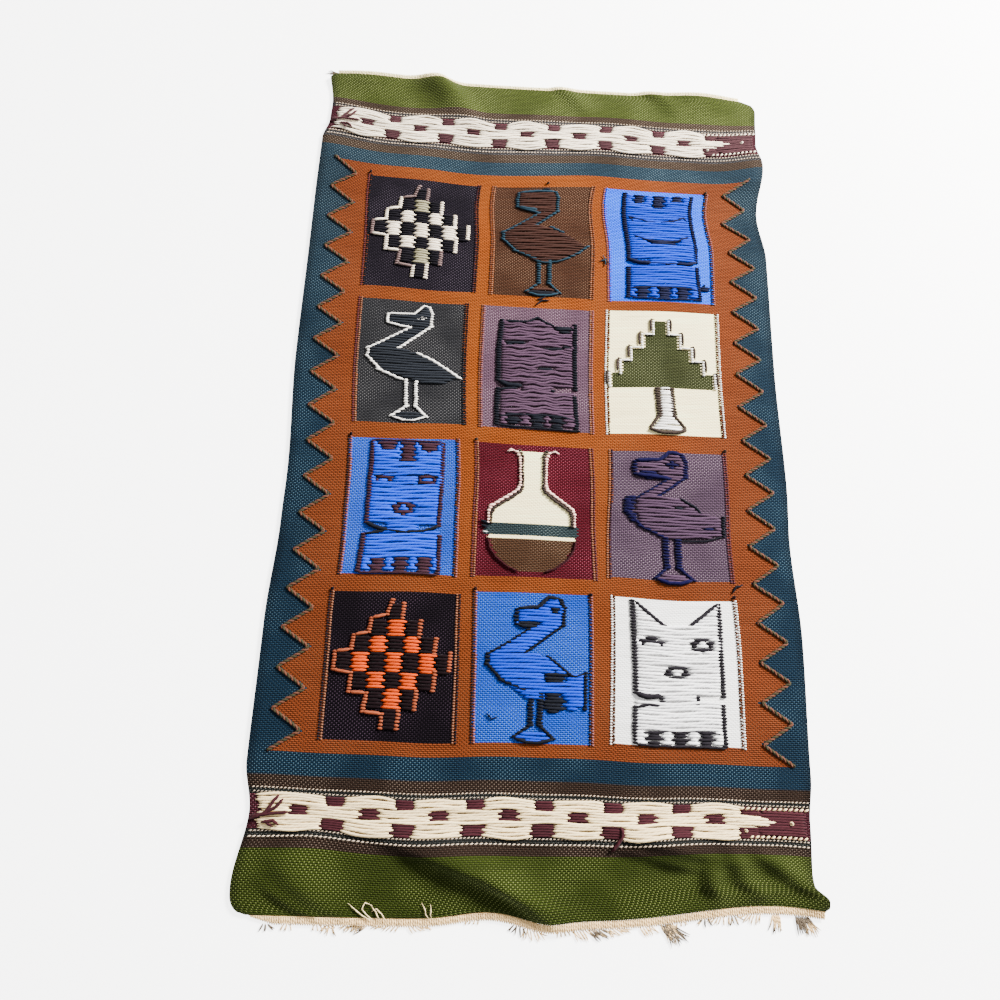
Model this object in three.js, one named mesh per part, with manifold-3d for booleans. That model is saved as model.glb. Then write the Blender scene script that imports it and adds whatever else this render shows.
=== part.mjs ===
// A woven tapestry lying on a floor with low folds at its ends, in millimetres.
// +Z is up and +Y runs to the far end. The origin is on the floor under the middle of the whole piece.
import * as THREE from 'three';
import Module from 'manifold-3d';
import { mergeVertices } from 'three/addons/utils/BufferGeometryUtils.js';

const wasm = await Module();
wasm.setup();

// Driving dimensions. u runs across the cloth and v along it, both from the middle of the twelve squares.
const CLOTH = { width: 610, near: -540, far: 531, thick: 3 };
const HEADING = { depth: 8.5, thick: 2.4, gap: 0.5, inset: 5 };
const GRID_MIDDLE = { x: -1, y: 14 };
const CORNER_RADIUS = { farLeft: 6, farRight: 20, nearLeft: 18, nearRight: 5 };

// How far each selvedge runs from a straight line, a row for each section along the cloth.
const SELVEDGES = [
  { v: 545, left: 1, right: 2 },
  { v: 475, left: 9, right: -1 },
  { v: 447, left: 8, right: -2 },
  { v: 415, left: 0, right: 5 },
  { v: 335, left: -1, right: -9 },
  { v: 270, left: -1, right: 0 },
  { v: 100, left: -2, right: -1 },
  { v: -60, left: 4, right: 3 },
  { v: -120, left: 3, right: 1 },
  { v: -240, left: -3, right: 7 },
  { v: -390, left: -4, right: 4 },
  { v: -440, left: 5, right: -1 },
  { v: -513, left: -6, right: -3 },
  { v: -530, left: -5, right: 11 },
  { v: -550, left: -5, right: 12 },
];

// Where the weft lines are drawn out of straight: the middle of each pull, its reach
// and its shift along the cloth.
const PULLS = [
  { u: -310, v: 440, across: 60, along: 100, shift: 13 },
  { u: 310, v: 425, across: 50, along: 55, shift: 11 },
  { u: -70, v: 385, across: 80, along: 90, shift: -5 },
  { u: -55, v: -550, across: 42, along: 40, shift: 8 },
  { u: 5, v: -550, across: 25, along: 25, shift: -4 },
  { u: 250, v: -545, across: 120, along: 80, shift: 20 },
  { u: -235, v: -470, across: 40, along: 25, shift: 4 },
];

// The folds, a row for each: the middle of its crest, the crest's turn from the u axis in degrees, its half
// length, its half width on the lower and the upper side, and its height.
const FOLDS = [
  { u: -150, v: 534, turn: -52, reach: 62, lower: 24, upper: 17, height: 14 },
  { u: -240, v: 552, turn: 0, reach: 66, lower: 44, upper: 44, height: 11 },
  { u: 34, v: 530, turn: -52, reach: 36, lower: 11, upper: 17, height: 4 },
  { u: 165, v: 532, turn: -48, reach: 36, lower: 11, upper: 17, height: 4 },
  { u: 236, v: 552, turn: 0, reach: 52, lower: 46, upper: 46, height: 10 },
  { u: 312, v: 392, turn: 10, reach: 42, lower: 20, upper: 28, height: 5 },
  { u: -70, v: -494, turn: -20, reach: 82, lower: 10, upper: 26, height: 11 },
  { u: -2, v: -528, turn: -34, reach: 36, lower: 9, upper: 20, height: 7 },
  { u: 152, v: -469, turn: -17, reach: 58, lower: 9, upper: 22, height: 9 },
  { u: 224, v: -497, turn: -68, reach: 32, lower: 10, upper: 13, height: 7 },
  { u: 266, v: -494, turn: -36, reach: 40, lower: 10, upper: 14, height: 7 },
  { u: 194, v: -516, turn: -104, reach: 24, lower: 9, upper: 12, height: 6 },
  { u: -236, v: -510, turn: -37, reach: 40, lower: 11, upper: 26, height: 7 },
  { u: 306, v: -528, turn: 20, reach: 22, lower: 16, upper: 16, height: 7 },
];
const FOLD_CUTOFF = 0.4;

// The mesh lines: even across, and along the cloth closer at the ends where the folds are.
const COLUMNS = 48;
const ROWS = [-540, -531, -522, -513, -504, -495, -485, -474, -461, -445, -420, -380, -310, -240, -120,
  -60, 100, 270, 335, 385, 418, 445, 470, 488, 502, 513, 522, 531];

// Loose warp ends in clumps, a row for each clump: where it starts, how many, the step between roots, their
// length, the way the clump points in degrees from the u axis, and how far it fans out.
const NEAR_ENDS = [
  { u: -280, count: 4, step: 3.4, length: 9, turn: -80, fan: 50 },
  { u: -252, count: 3, step: 3.6, length: 5, turn: -100, fan: 30 },
  { u: -226, count: 6, step: 3.4, length: 9, turn: -60, fan: 70 },
  { u: -194, count: 6, step: 3.4, length: 10, turn: -130, fan: 40 },
  { u: -164, count: 3, step: 3.8, length: 5, turn: -75, fan: 50 },
  { u: -138, count: 6, step: 3.4, length: 8, turn: -140, fan: 40 },
  { u: -102, count: 4, step: 3.8, length: 5, turn: -110, fan: 50 },
  { u: -30, count: 7, step: 3.4, length: 12, turn: -100, fan: 60 },
  { u: 4, count: 5, step: 3.6, length: 8, turn: -85, fan: 50 },
  { u: 44, count: 8, step: 3.4, length: 13, turn: -50, fan: 40 },
  { u: 78, count: 6, step: 3.4, length: 11, turn: -45, fan: 30 },
  { u: 116, count: 8, step: 3.0, length: 23, turn: -58, fan: 22 },
  { u: 160, count: 3, step: 4.0, length: 5, turn: -80, fan: 40 },
  { u: 190, count: 6, step: 3.4, length: 9, turn: -110, fan: 60 },
  { u: 226, count: 7, step: 3.4, length: 12, turn: -95, fan: 60 },
  { u: 262, count: 4, step: 3.0, length: 16, turn: -82, fan: 16 },
  { u: 278, count: 7, step: 3.0, length: 18, turn: -62, fan: 26 },
];
const FAR_ENDS = [
  { u: -296, count: 2, step: 3.2, length: 20, turn: 168, fan: 10 },
];
const WARP_END = { width: 2, height: 1.7, tip: 0.45, root: 4 };

const HALF_WIDTH = CLOTH.width / 2;

function smooth(t) {
  return t * t * (3 - 2 * t);
}

// The selvedge drift at v, eased between the rows of the table.
function selvedge(v, side) {
  if (v >= SELVEDGES[0].v) {
    return SELVEDGES[0][side];
  }
  for (let i = 1; i < SELVEDGES.length; i += 1) {
    const far = SELVEDGES[i - 1];
    const near = SELVEDGES[i];
    if (v >= near.v) {
      const t = smooth((v - near.v) / (far.v - near.v));
      return near[side] + (far[side] - near[side]) * t;
    }
  }
  return SELVEDGES[SELVEDGES.length - 1][side];
}

// How much a rounded corner takes off the half width at v.
function cornerCut(v, radius, end) {
  const inside = Math.abs(end - v);
  if (inside >= radius) {
    return 0;
  }
  const rise = radius - inside;
  return radius - Math.sqrt(radius * radius - rise * rise);
}

function pull(u, v) {
  let shift = 0;
  for (const p of PULLS) {
    const a = (u - p.u) / p.across;
    const b = (v - p.v) / p.along;
    shift += p.shift * Math.exp(-a * a - b * b);
  }
  return shift;
}

function lift(u, v) {
  let height = 0;
  for (const f of FOLDS) {
    const turn = THREE.MathUtils.degToRad(f.turn);
    const along = (u - f.u) * Math.cos(turn) + (v - f.v) * Math.sin(turn);
    const across = (v - f.v) * Math.cos(turn) - (u - f.u) * Math.sin(turn);
    const width = across < 0 ? f.lower : f.upper;
    height += f.height * Math.exp(-((along / f.reach) ** 2) - (across / width) ** 2);
  }
  return Math.max(0, height - FOLD_CUTOFF);
}

// The place on the floor, and the height of the cloth's underside, of the point (u, v) of the weave.
function lie(u, v) {
  const inCloth = THREE.MathUtils.clamp(v, CLOTH.near, CLOTH.far);
  const farCut = { left: CORNER_RADIUS.farLeft, right: CORNER_RADIUS.farRight };
  const nearCut = { left: CORNER_RADIUS.nearLeft, right: CORNER_RADIUS.nearRight };
  const cut = (side) => {
    const far = cornerCut(inCloth, farCut[side], CLOTH.far);
    return far + cornerCut(inCloth, nearCut[side], CLOTH.near);
  };
  const left = -HALF_WIDTH + selvedge(v, 'left') + cut('left');
  const right = HALF_WIDTH + selvedge(v, 'right') - cut('right');
  const x = left + (right - left) * (u + HALF_WIDTH) / CLOTH.width;
  return new THREE.Vector3(x + GRID_MIDDLE.x, v + pull(u, v) + GRID_MIDDLE.y, lift(u, v));
}

// A closed sheet from a grid of (u, v) lines, its underside on the lie and its top face one thickness higher.
function sheet(us, vs, thick) {
  const across = us.length;
  const points = [];
  for (const v of vs) {
    for (const u of us) {
      const p = lie(u, v);
      points.push(p.x, p.y, p.z);
    }
  }
  const layer = across * vs.length;
  for (let i = 0; i < layer; i += 1) {
    points.push(points[3 * i], points[3 * i + 1], points[3 * i + 2] + thick);
  }
  const faces = [];
  for (let j = 0; j + 1 < vs.length; j += 1) {
    for (let i = 0; i + 1 < across; i += 1) {
      const a = j * across + i;
      const b = a + 1;
      const c = b + across;
      const d = a + across;
      faces.push(a, c, b, a, d, c);
      faces.push(layer + a, layer + b, layer + c, layer + a, layer + c, layer + d);
    }
  }
  const rim = rimOf(across, vs.length);
  for (let k = 0; k < rim.length; k += 1) {
    const a = rim[k];
    const b = rim[(k + 1) % rim.length];
    faces.push(a, b, layer + b, a, layer + b, layer + a);
  }
  const geometry = new THREE.BufferGeometry();
  geometry.setAttribute('position', new THREE.Float32BufferAttribute(points, 3));
  geometry.setIndex(faces);
  return geometry;
}

// The outer points of a grid, in turn anticlockwise as seen from above.
function rimOf(across, along) {
  const rim = [];
  for (let i = 0; i < across; i += 1) {
    rim.push(i);
  }
  for (let j = 1; j < along; j += 1) {
    rim.push(j * across + across - 1);
  }
  for (let i = across - 2; i >= 0; i -= 1) {
    rim.push((along - 1) * across + i);
  }
  for (let j = along - 2; j > 0; j -= 1) {
    rim.push(j * across);
  }
  return rim;
}

function evenSteps(from, to, count) {
  return Array.from({ length: count + 1 }, (_, i) => from + (to - from) * i / count);
}

// One loose warp end: a three-sided tube that leaves its root inside the heading and comes down on the floor.
function warpEnd(root, turn, length) {
  const way = new THREE.Vector3(Math.cos(turn), Math.sin(turn), 0);
  const side = new THREE.Vector3(-way.y, way.x, 0);
  const start = root.clone().addScaledVector(way, -WARP_END.root);
  const bend = root.clone().addScaledVector(way, length * 0.45);
  const tip = root.clone().addScaledVector(way, length);
  bend.setZ(0);
  tip.setZ(0);
  const stations = [
    { at: start, size: 1 },
    { at: bend, size: 0.85 },
    { at: tip, size: WARP_END.tip },
  ];
  const points = [];
  for (const { at, size } of stations) {
    const half = WARP_END.width * size / 2;
    const left = at.clone().addScaledVector(side, half);
    const right = at.clone().addScaledVector(side, -half);
    points.push(left.x, left.y, at.z, right.x, right.y, at.z, at.x, at.y, at.z + WARP_END.height * size);
  }
  const faces = [0, 1, 2, 6, 8, 7];
  for (let s = 0; s < stations.length - 1; s += 1) {
    for (let k = 0; k < 3; k += 1) {
      const a = 3 * s + k;
      const b = 3 * s + (k + 1) % 3;
      faces.push(a, b + 3, b, a, a + 3, b + 3);
    }
  }
  const geometry = new THREE.BufferGeometry();
  geometry.setAttribute('position', new THREE.Float32BufferAttribute(points, 3));
  geometry.setIndex(faces);
  return geometry;
}

// Every warp end of a table, on the heading's outer side at v. Each end's length varies a little, evenly.
function warpEnds(table, v) {
  const ends = [];
  for (const clump of table) {
    for (let i = 0; i < clump.count; i += 1) {
      const t = clump.count > 1 ? i / (clump.count - 1) - 0.5 : 0;
      const vary = 0.82 + 0.18 * Math.cos(i * 2.4 + clump.u);
      const turn = THREE.MathUtils.degToRad(clump.turn + clump.fan * t);
      ends.push(warpEnd(lie(clump.u + i * clump.step, v), turn, clump.length * vary));
    }
  }
  return ends;
}

function solidOf(geometry) {
  const bare = geometry.clone();
  bare.deleteAttribute('normal');
  bare.deleteAttribute('uv');
  const merged = mergeVertices(bare, 1e-4);
  return new wasm.Manifold(new wasm.Mesh({
    numProp: 3,
    vertProperties: new Float32Array(merged.attributes.position.array),
    triVerts: new Uint32Array(merged.index.array),
  }));
}

function geometryOf(solid) {
  const mesh = solid.getMesh();
  const geometry = new THREE.BufferGeometry();
  geometry.setAttribute('position', new THREE.BufferAttribute(mesh.vertProperties, 3));
  geometry.setIndex(new THREE.BufferAttribute(mesh.triVerts, 1));
  return geometry;
}

function clothGeometry() {
  return sheet(evenSteps(-HALF_WIDTH, HALF_WIDTH, COLUMNS), ROWS, CLOTH.thick);
}

// A heading strip beside an end of the cloth, with its loose warp ends joined to it.
function headingGeometry(v0, v1, from, to, table, endsAt) {
  const strip = solidOf(sheet(evenSteps(from, to, COLUMNS), [v0, v1], HEADING.thick));
  return geometryOf(warpEnds(table, endsAt).reduce((whole, end) => whole.add(solidOf(end)), strip));
}

function farHeading() {
  const v0 = CLOTH.far + HEADING.gap;
  const from = -HALF_WIDTH + CORNER_RADIUS.farLeft;
  const to = HALF_WIDTH - HEADING.inset;
  return headingGeometry(v0, v0 + HEADING.depth, from, to, FAR_ENDS, v0 + HEADING.depth / 2);
}

function nearHeading() {
  const v1 = CLOTH.near - HEADING.gap;
  const v0 = v1 - HEADING.depth;
  return headingGeometry(v0, v1, -HALF_WIDTH + HEADING.inset, HALF_WIDTH, NEAR_ENDS, v0);
}

function piece(name, geometry, colour, roughness) {
  const material = new THREE.MeshStandardMaterial({ color: colour, roughness, metalness: 0 });
  const mesh = new THREE.Mesh(geometry, material);
  mesh.name = name;
  return mesh;
}

const tapestry = new THREE.Group();
tapestry.add(piece('cloth', clothGeometry(), '#b4561d', 0.9));
tapestry.add(piece('heading_far', farHeading(), '#e6d9b4', 0.9));
tapestry.add(piece('heading_near', nearHeading(), '#e6d0ae', 0.9));

export default tapestry;
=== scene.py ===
"""Woven tapestry lying with low folds: cloth, floats, outlines, cords and headings."""

import math
import random
from collections import defaultdict

import bpy
import numpy as np
from mathutils import Matrix


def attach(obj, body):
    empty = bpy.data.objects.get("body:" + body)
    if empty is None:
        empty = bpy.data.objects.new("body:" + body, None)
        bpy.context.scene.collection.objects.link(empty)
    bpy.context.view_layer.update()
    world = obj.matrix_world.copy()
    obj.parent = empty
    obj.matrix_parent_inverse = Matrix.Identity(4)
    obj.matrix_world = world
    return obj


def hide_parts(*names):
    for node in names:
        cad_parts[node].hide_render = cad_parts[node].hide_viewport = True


MM = 0.001
MM_IN_A_METRE = 1000.0
PLIES = 2.0

# Cloth sizes in mm: u runs across the cloth from its middle line, v along it to the far end
WIDTH = 610.0
NEAR = -540.0
FAR = 531.0
THICK = 3.0
MIDDLE_X = -1.0
MIDDLE_Y = 14.0
WARP_STEP = 4.85
ROW_STEP = 2.1
FLOAT_STEP = 3.6

# The cloth's grid: cells each way, and the length into which its nearest share of rows is packed
GRID = (122, 214)
FINE_SHARE = 0.2
FINE_LENGTH = 108.0

# Rows of the selvedges' drift: v, left, right
SELVEDGES = (
    (545, 1, 2),
    (475, 9, -1),
    (447, 8, -2),
    (415, 0, 5),
    (335, -1, -9),
    (270, -1, 0),
    (100, -2, -1),
    (-60, 4, 3),
    (-120, 3, 1),
    (-240, -3, 7),
    (-390, -4, 4),
    (-440, 5, -1),
    (-513, -6, -3),
    (-530, -5, 11),
    (-550, -5, 12),
)

# Corner radii of the cloth: far end, near end
LEFT_CORNERS = (6, 18)
RIGHT_CORNERS = (20, 5)

# Rolled edges: how far in the roll starts and how deep it goes, at the sides and at the ends
SIDE_ROLL = (9, 1.3)
END_ROLL = (5, 0.7)
DEEPEST_ROLL = 1.6

# Places where the cloth is pulled along: u, v, reach across, reach along, shift
PULLS = (
    (-310, 440, 60, 100, 13),
    (310, 425, 50, 55, 11),
    (-70, 385, 80, 90, -5),
    (-55, -550, 42, 40, 8),
    (5, -550, 25, 25, -4),
    (250, -545, 120, 80, 20),
    (-235, -470, 40, 25, 4),
)

# Folds: u, v, turn in degrees, reach, lower width, upper width, height
FOLDS = (
    (-150, 534, -52, 62, 24, 17, 14),
    (-240, 552, 0, 66, 44, 44, 11),
    (34, 530, -52, 36, 11, 17, 4),
    (165, 532, -48, 36, 11, 17, 4),
    (236, 552, 0, 52, 46, 46, 10),
    (312, 392, 10, 42, 20, 28, 5),
    (-70, -494, -20, 82, 10, 26, 11),
    (-2, -528, -34, 36, 9, 20, 7),
    (152, -469, -17, 58, 9, 22, 9),
    (224, -497, -68, 32, 10, 13, 7),
    (266, -494, -36, 40, 10, 14, 7),
    (194, -516, -104, 24, 9, 12, 6),
    (-236, -510, -37, 40, 11, 26, 7),
    (306, -528, 20, 22, 16, 16, 7),
)
FOLD_CUTOFF = 0.4

# Crisp ridges on the near folds, in the same columns
RIDGES = (
    (-112, -481, -16, 34, 5, 18, 2.8),
    (-64, -496, -22, 30, 5, 18, 4.2),
    (-28, -514, -38, 22, 5, 16, 4.2),
    (108, -472, -12, 32, 6, 18, 4.6),
    (156, -488, -16, 28, 6, 16, 6.0),
    (192, -503, -80, 18, 6, 16, 4.0),
    (238, -527, 14, 26, 5, 14, 3.4),
    (-254, -524, -36, 28, 5, 18, 4.6),
)

# Small unevenness of the lying cloth: u length, v length, phase, height
RIPPLES = ((310, 190, 0.4, 0.45), (-170, 260, 1.9, 0.35), (120, -150, 3.1, 0.25), (74, 110, 5.2, 0.15))
RIPPLE_SHARE = 0.6

# Slow waves of the woven rows: u length, v length, phase, size
ROW_WAVES = ((420, 900, 0.6, 1.2), (-230, 610, 2.2, 0.8), (118, -700, 4.0, 0.45))

# The orange field's ends, the near edge of the teal round it, and the saw-teeth at the field's sides
FIELD_NEAR = -381.0
FIELD_FAR = 386.0
TEAL_NEAR = -404.0
TOOTH_STEP = 45.25
TOOTH_START = 389.5
TOOTH_COUNT = 18
TOOTH_TIPS = (-283.0, 286.0)
TOOTH_VALLEYS = (-250.0, 252.0)

# Stripes of the ground from the near end: where each starts, and its yarn; the far stripes take lighter
# copies of the yarns, as painted light
STRIPES = (
    (-545, "green near"),
    (-479, "brown"),
    (-468, "dark"),
    (-460, "maroon"),
    (-424, "dark"),
    (-417, "brown"),
    (TEAL_NEAR, "teal near"),
    (FIELD_FAR, "teal far painted light"),
    (408, "brown far painted light"),
    (421, "dark far painted light"),
    (431, "maroon"),
    (470, "dark far painted light"),
    (476, "brown far painted light"),
    (487, "green far painted light"),
)

# Colours of the yarns, as eight-bit values; the far copies of the ground's yarns are lighter, as painted
# light of the brighter far end
YARN = {
    "green near": (37, 46, 7),
    "green far painted light": (54, 63, 20),
    "brown": (34, 23, 17),
    "brown far painted light": (50, 38, 29),
    "dark": (25, 26, 25),
    "dark far painted light": (46, 44, 46),
    "maroon": (60, 20, 30),
    "teal near": (9, 28, 43),
    "teal far painted light": (22, 39, 51),
    "orange": (100, 45, 19),
    "black violet": (12, 7, 16),
    "red brown": (52, 28, 15),
    "sky blue": (4, 78, 242),
    "charcoal": (29, 29, 32),
    "mauve": (80, 57, 72),
    "cream": (255, 239, 180),
    "steel blue": (26, 66, 176),
    "wine": (62, 5, 16),
    "lilac": (63, 47, 62),
    "ink": (6, 2, 7),
    "bright blue": (18, 61, 168),
    "white": (247, 246, 244),
    "olive": (43, 47, 22),
    "teal band": (32, 44, 47),
    "umber": (58, 37, 23),
    "float cream": (250, 234, 211),
    "float blue": (4, 53, 186),
    "float steel": (11, 64, 206),
    "float mauve": (70, 50, 67),
    "float lilac": (65, 47, 65),
    "float charcoal": (29, 32, 38),
    "float brown": (49, 28, 22),
    "float white": (247, 246, 247),
    "float orange": (190, 62, 2),
    "navy": (8, 4, 43),
    "night": (14, 16, 24),
    "teal line": (27, 48, 60),
    "maroon line": (76, 38, 46),
    "black line": (26, 23, 28),
    "white line": (250, 246, 240),
    "peach": (128, 84, 62),
    "pink": (250, 206, 190),
    "plum dots": (128, 80, 84),
    "cord green": (54, 50, 34),
    "cord brown": (92, 56, 42),
    "float russet": (64, 38, 42),
    "gold": (132, 62, 12),
    "cotton far painted light": (246, 230, 172),
    "frayed": (96, 84, 70),
    "cotton": (240, 201, 142),
    "navy dark": (16, 18, 44),
    "maroon dark": (49, 27, 36),
    "float ink": (12, 9, 16),
    "float plum": (14, 3, 6),
    "float dove": (112, 92, 90),
    "float moss": (146, 140, 112),
    "float apricot": (138, 66, 40),
    "float ecru": (253, 225, 172),
    "float maroon": (56, 24, 30),
    "bark": (52, 43, 38),
    "wine dark": (40, 8, 14),
    "stitch": (206, 184, 160),
}

# Squares, row by row from the far end: far edge and near edge as left, right and v, and the ground
SQUARES = (
    ("r1c1", (-232, -84.5, 368), (-229, -87, 198), "black violet"),
    ("r1c2", (-62, 72, 368), (-63, 67, 196), "red brown"),
    ("r1c3", (92, 230, 367), (93, 228, 195), "sky blue"),
    ("r2c1", (-229.5, -95, 179), (-227, -94, 9), "charcoal"),
    ("r2c2", (-71, 67.5, 178), (-72, 64.5, 8), "mauve"),
    ("r2c3", (91, 231.5, 180), (87, 230, 8), "cream"),
    ("r3c1", (-231, -102, -12), (-227, -97, -181), "steel blue"),
    ("r3c2", (-76.5, 62, -13), (-74, 67, -179), "wine"),
    ("r3c3", (89, 228, -14), (85, 229, -175), "lilac"),
    ("r4c1", (-232, -91, -202), (-229, -87, -365), "ink"),
    ("r4c2", (-70, 60.5, -197), (-65, 62.5, -365), "bright blue"),
    ("r4c3", (89, 228, -197), (88, 231, -362), "white"),
)
SQUARE_SIDES = ("Far left", "Far right", "Far", "Near left", "Near right", "Near")

# Where each square's motif is centred
MIDDLES = {
    "r1c1": (-158.5, 284.0),
    "r1c2": (3.2, 281.0),
    "r1c3": (164.8, 283.5),
    "r2c1": (-162.2, 96.5),
    "r2c2": (-0.2, 95.0),
    "r2c3": (162.5, 95.0),
    "r3c1": (-161.8, -95.0),
    "r3c2": (-2.2, -94.0),
    "r3c3": (160.2, -92.5),
    "r4c1": (-157.5, -283.0),
    "r4c2": (-0.8, -280.0),
    "r4c3": (163.0, -278.5),
}

# Widths of woven figures: first v, reach, widest, how rows are joined, and half the width from each v on
TREE_WIDTHS = (60.0, 120.0, 100.0, "CONSTANT", ((60, 66), (91, 51), (109, 37.5), (127, 22.5), (146, 8.5)))
SHOULDERS = ((-118, 48), (-101, 48), (-94, 44), (-80, 23), (-73, 14.5), (-66, 11.5), (-30, 11.5), (-21, 20))
BOWL = ((-174, 12), (-168, 25), (-158, 38), (-148, 45), (-138, 49), (-128, 51))

# Figures woven into their squares: yarn, middle u, lowest v, highest v, and half the width
FIGURES = (
    ("olive", 158.5, 71.0, 165.0, TREE_WIDTHS),
    ("cream", -8.2, -116.0, -20.0, (-120.0, 110.0, 60.0, "LINEAR", SHOULDERS)),
    ("umber", -7.2, -173.0, -130.0, (-175.0, 60.0, 60.0, "LINEAR", BOWL)),
    ("cream", -7.2, -132.0, -127.0, 51.0),
    ("teal band", -8.5, -127.5, -114.0, 55.0),
)


def mounds(table, u, v, start=0.0):
    """Height of a table's long low mounds at a place, added to start."""
    total = start
    for middle_u, middle_v, turn, reach, lower, upper, height in table:
        angle = math.radians(turn)
        along = (u - middle_u) * math.cos(angle) + (v - middle_v) * math.sin(angle)
        across = (v - middle_v) * math.cos(angle) - (u - middle_u) * math.sin(angle)
        width = lower if across < 0 else upper
        total += height * math.exp(-((along / reach) ** 2) - (across / width) ** 2)
    return total


def waves(table, u, v, level=0.0):
    """A table's slow waves at a place, each standing on its level."""
    total = 0.0
    for across, along, phase, size in table:
        total += size * (level + math.sin(2 * math.pi * (u / across + v / along) + phase))
    return total


def selvedge(v, side):
    """Drift of a selvedge in mm at a place along the cloth: side 1 is left, 2 is right."""
    for upper, lower in zip(SELVEDGES, SELVEDGES[1:]):
        if v >= lower[0]:
            share = min(1.0, max(0.0, (v - lower[0]) / (upper[0] - lower[0])))
            eased = share * share * (3 - 2 * share)
            return lower[side] + (upper[side] - lower[side]) * eased
    return SELVEDGES[-1][side]


def corner_cut(v, radii):
    """How far the rounded corners draw a selvedge in."""
    cut = 0.0
    for end, radius in zip((FAR, NEAR), radii):
        depth = radius - abs(end - v)
        if depth > 0:
            cut += radius - math.sqrt(max(0.0, radius * radius - depth * depth))
    return cut


def pull(u, v):
    """How far the cloth is pulled along at a place."""
    total = 0.0
    for middle_u, middle_v, across, along, shift in PULLS:
        total += shift * math.exp(-(((u - middle_u) / across) ** 2) - ((v - middle_v) / along) ** 2)
    return total


def edge_roll(u, v):
    """How far the cloth's edge rolls down, in mm."""
    side = WIDTH / 2 - abs(u)
    end = max(0.0, min(v - NEAR, FAR - v))
    roll = 0.0
    for inside, (reach, depth) in ((side, SIDE_ROLL), (end, END_ROLL)):
        if inside < reach:
            roll += depth * ((reach - inside) / reach) ** 2
    return min(roll, DEEPEST_ROLL)


def place(u, v, rise=0.0):
    """A point on the cloth's upper face, raised by rise, in metres."""
    inside = min(FAR, max(NEAR, v))
    left = selvedge(v, 1) + corner_cut(inside, LEFT_CORNERS) - WIDTH / 2
    right = selvedge(v, 2) - corner_cut(inside, RIGHT_CORNERS) + WIDTH / 2
    x = left + (right - left) * (u + WIDTH / 2) / WIDTH
    y = v + pull(u, v)
    fold = max(0.0, mounds(FOLDS, u, v) - FOLD_CUTOFF)
    uneven = mounds(RIDGES, u, v, waves(RIPPLES, u, v, 1) * RIPPLE_SHARE)
    z = fold + uneven + THICK - edge_roll(u, v) + rise
    return ((x + MIDDLE_X) * MM, (y + MIDDLE_Y) * MM, z * MM)


def lay(u, v, rise=0.0):
    """A point over a charted place of the weave, which follows the wandering rows."""
    return place(u, v - waves(ROW_WAVES, u, v), rise)


def dye(name, share=1.0):
    """A yarn colour from the table, as a linear colour."""
    linear = []
    for value in YARN[name]:
        part = value / 255
        part = part / 12.92 if part <= 0.04045 else ((part + 0.055) / 1.055) ** 2.4
        linear.append(part * share)
    return (*linear, 1.0)


def deselect():
    """Leaves nothing selected before a new object is added."""
    bpy.ops.object.select_all(action="DESELECT")


# Shader helpers


class Value:
    """A value in a node tree, which Python's own signs join into math nodes."""

    def __init__(self, tree, socket):
        self.tree = tree
        self.socket = socket

    def __add__(self, other):
        return calc(self.tree, "ADD", self, other)

    def __sub__(self, other):
        return calc(self.tree, "SUBTRACT", self, other)

    def __rsub__(self, other):
        return calc(self.tree, "SUBTRACT", other, self)

    def __mul__(self, other):
        return calc(self.tree, "MULTIPLY", self, other)

    def __truediv__(self, other):
        return calc(self.tree, "DIVIDE", self, other)

    def __pow__(self, other):
        return calc(self.tree, "POWER", self, other)

    def __gt__(self, other):
        return calc(self.tree, "GREATER_THAN", self, other)

    def __lt__(self, other):
        return calc(self.tree, "LESS_THAN", self, other)

    def __abs__(self):
        return calc(self.tree, "ABSOLUTE", self)


def wire(tree, node, inputs):
    """Links or sets a node's inputs."""
    for name, value in inputs.items():
        if isinstance(value, Value):
            tree.links.new(value.socket, node.inputs[name])
        else:
            node.inputs[name].default_value = value


def add(tree, kind, inputs=None, **settings):
    """A node with its settings and inputs."""
    node = tree.nodes.new(kind)
    for name, value in settings.items():
        setattr(node, name, value)
    wire(tree, node, inputs or {})
    return node


def read(tree, kind, inputs=None, output=0, **settings):
    """What one output of a new node gives."""
    return Value(tree, add(tree, kind, inputs, **settings).outputs[output])


def calc(tree, operation, *values, clamp=False):
    """A math node's result."""
    return read(tree, "ShaderNodeMath", dict(enumerate(values)), operation=operation, use_clamp=clamp)


def between(value, low, high):
    """A mask of the places where a value lies between two limits."""
    return (value > low) * (value < high)


def ranged(value, low, high, first=0.0, last=1.0):
    """A value that goes from first to last while another goes from low to high."""
    return read(value.tree, "ShaderNodeMapRange", {0: value, 1: low, 2: high, 3: first, 4: last})


def mix(share, first, second):
    """A number between two others."""
    return read(share.tree, "ShaderNodeMix", {0: share, 2: first, 3: second})


def noise(at, scale, detail):
    """Soft noise over a place."""
    return read(at.tree, "ShaderNodeTexNoise", {"Vector": at, "Scale": scale, "Detail": detail})


def blend(tree, share, first, second, mode="MIX"):
    """A colour mix: share of the second over the first."""
    inputs = {0: share, 6: first, 7: second}
    return read(tree, "ShaderNodeMix", inputs, 2, data_type="RGBA", blend_type=mode, clamp_result=True)


def shaded(colour, value):
    """A colour made lighter or darker by a value."""
    grey = read(value.tree, "ShaderNodeCombineColor", {0: value, 1: value, 2: value})
    return blend(value.tree, 1.0, colour, grey, "MULTIPLY")


def uv_parts(tree, name):
    """A UV map, and its two coordinates."""
    uv = read(tree, "ShaderNodeUVMap", uv_map=name)
    parts = add(tree, "ShaderNodeSeparateXYZ", {0: uv}).outputs
    return uv, Value(tree, parts[0]), Value(tree, parts[1])


def new_material(name):
    """A material with nodes, and its tree."""
    material = bpy.data.materials.new(name)
    material.use_nodes = True
    return material, material.node_tree


# Sockets of the groups that aren't plain numbers
SOCKETS = {"Colour": "NodeSocketColor", "Place": "NodeSocketVector"}


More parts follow.
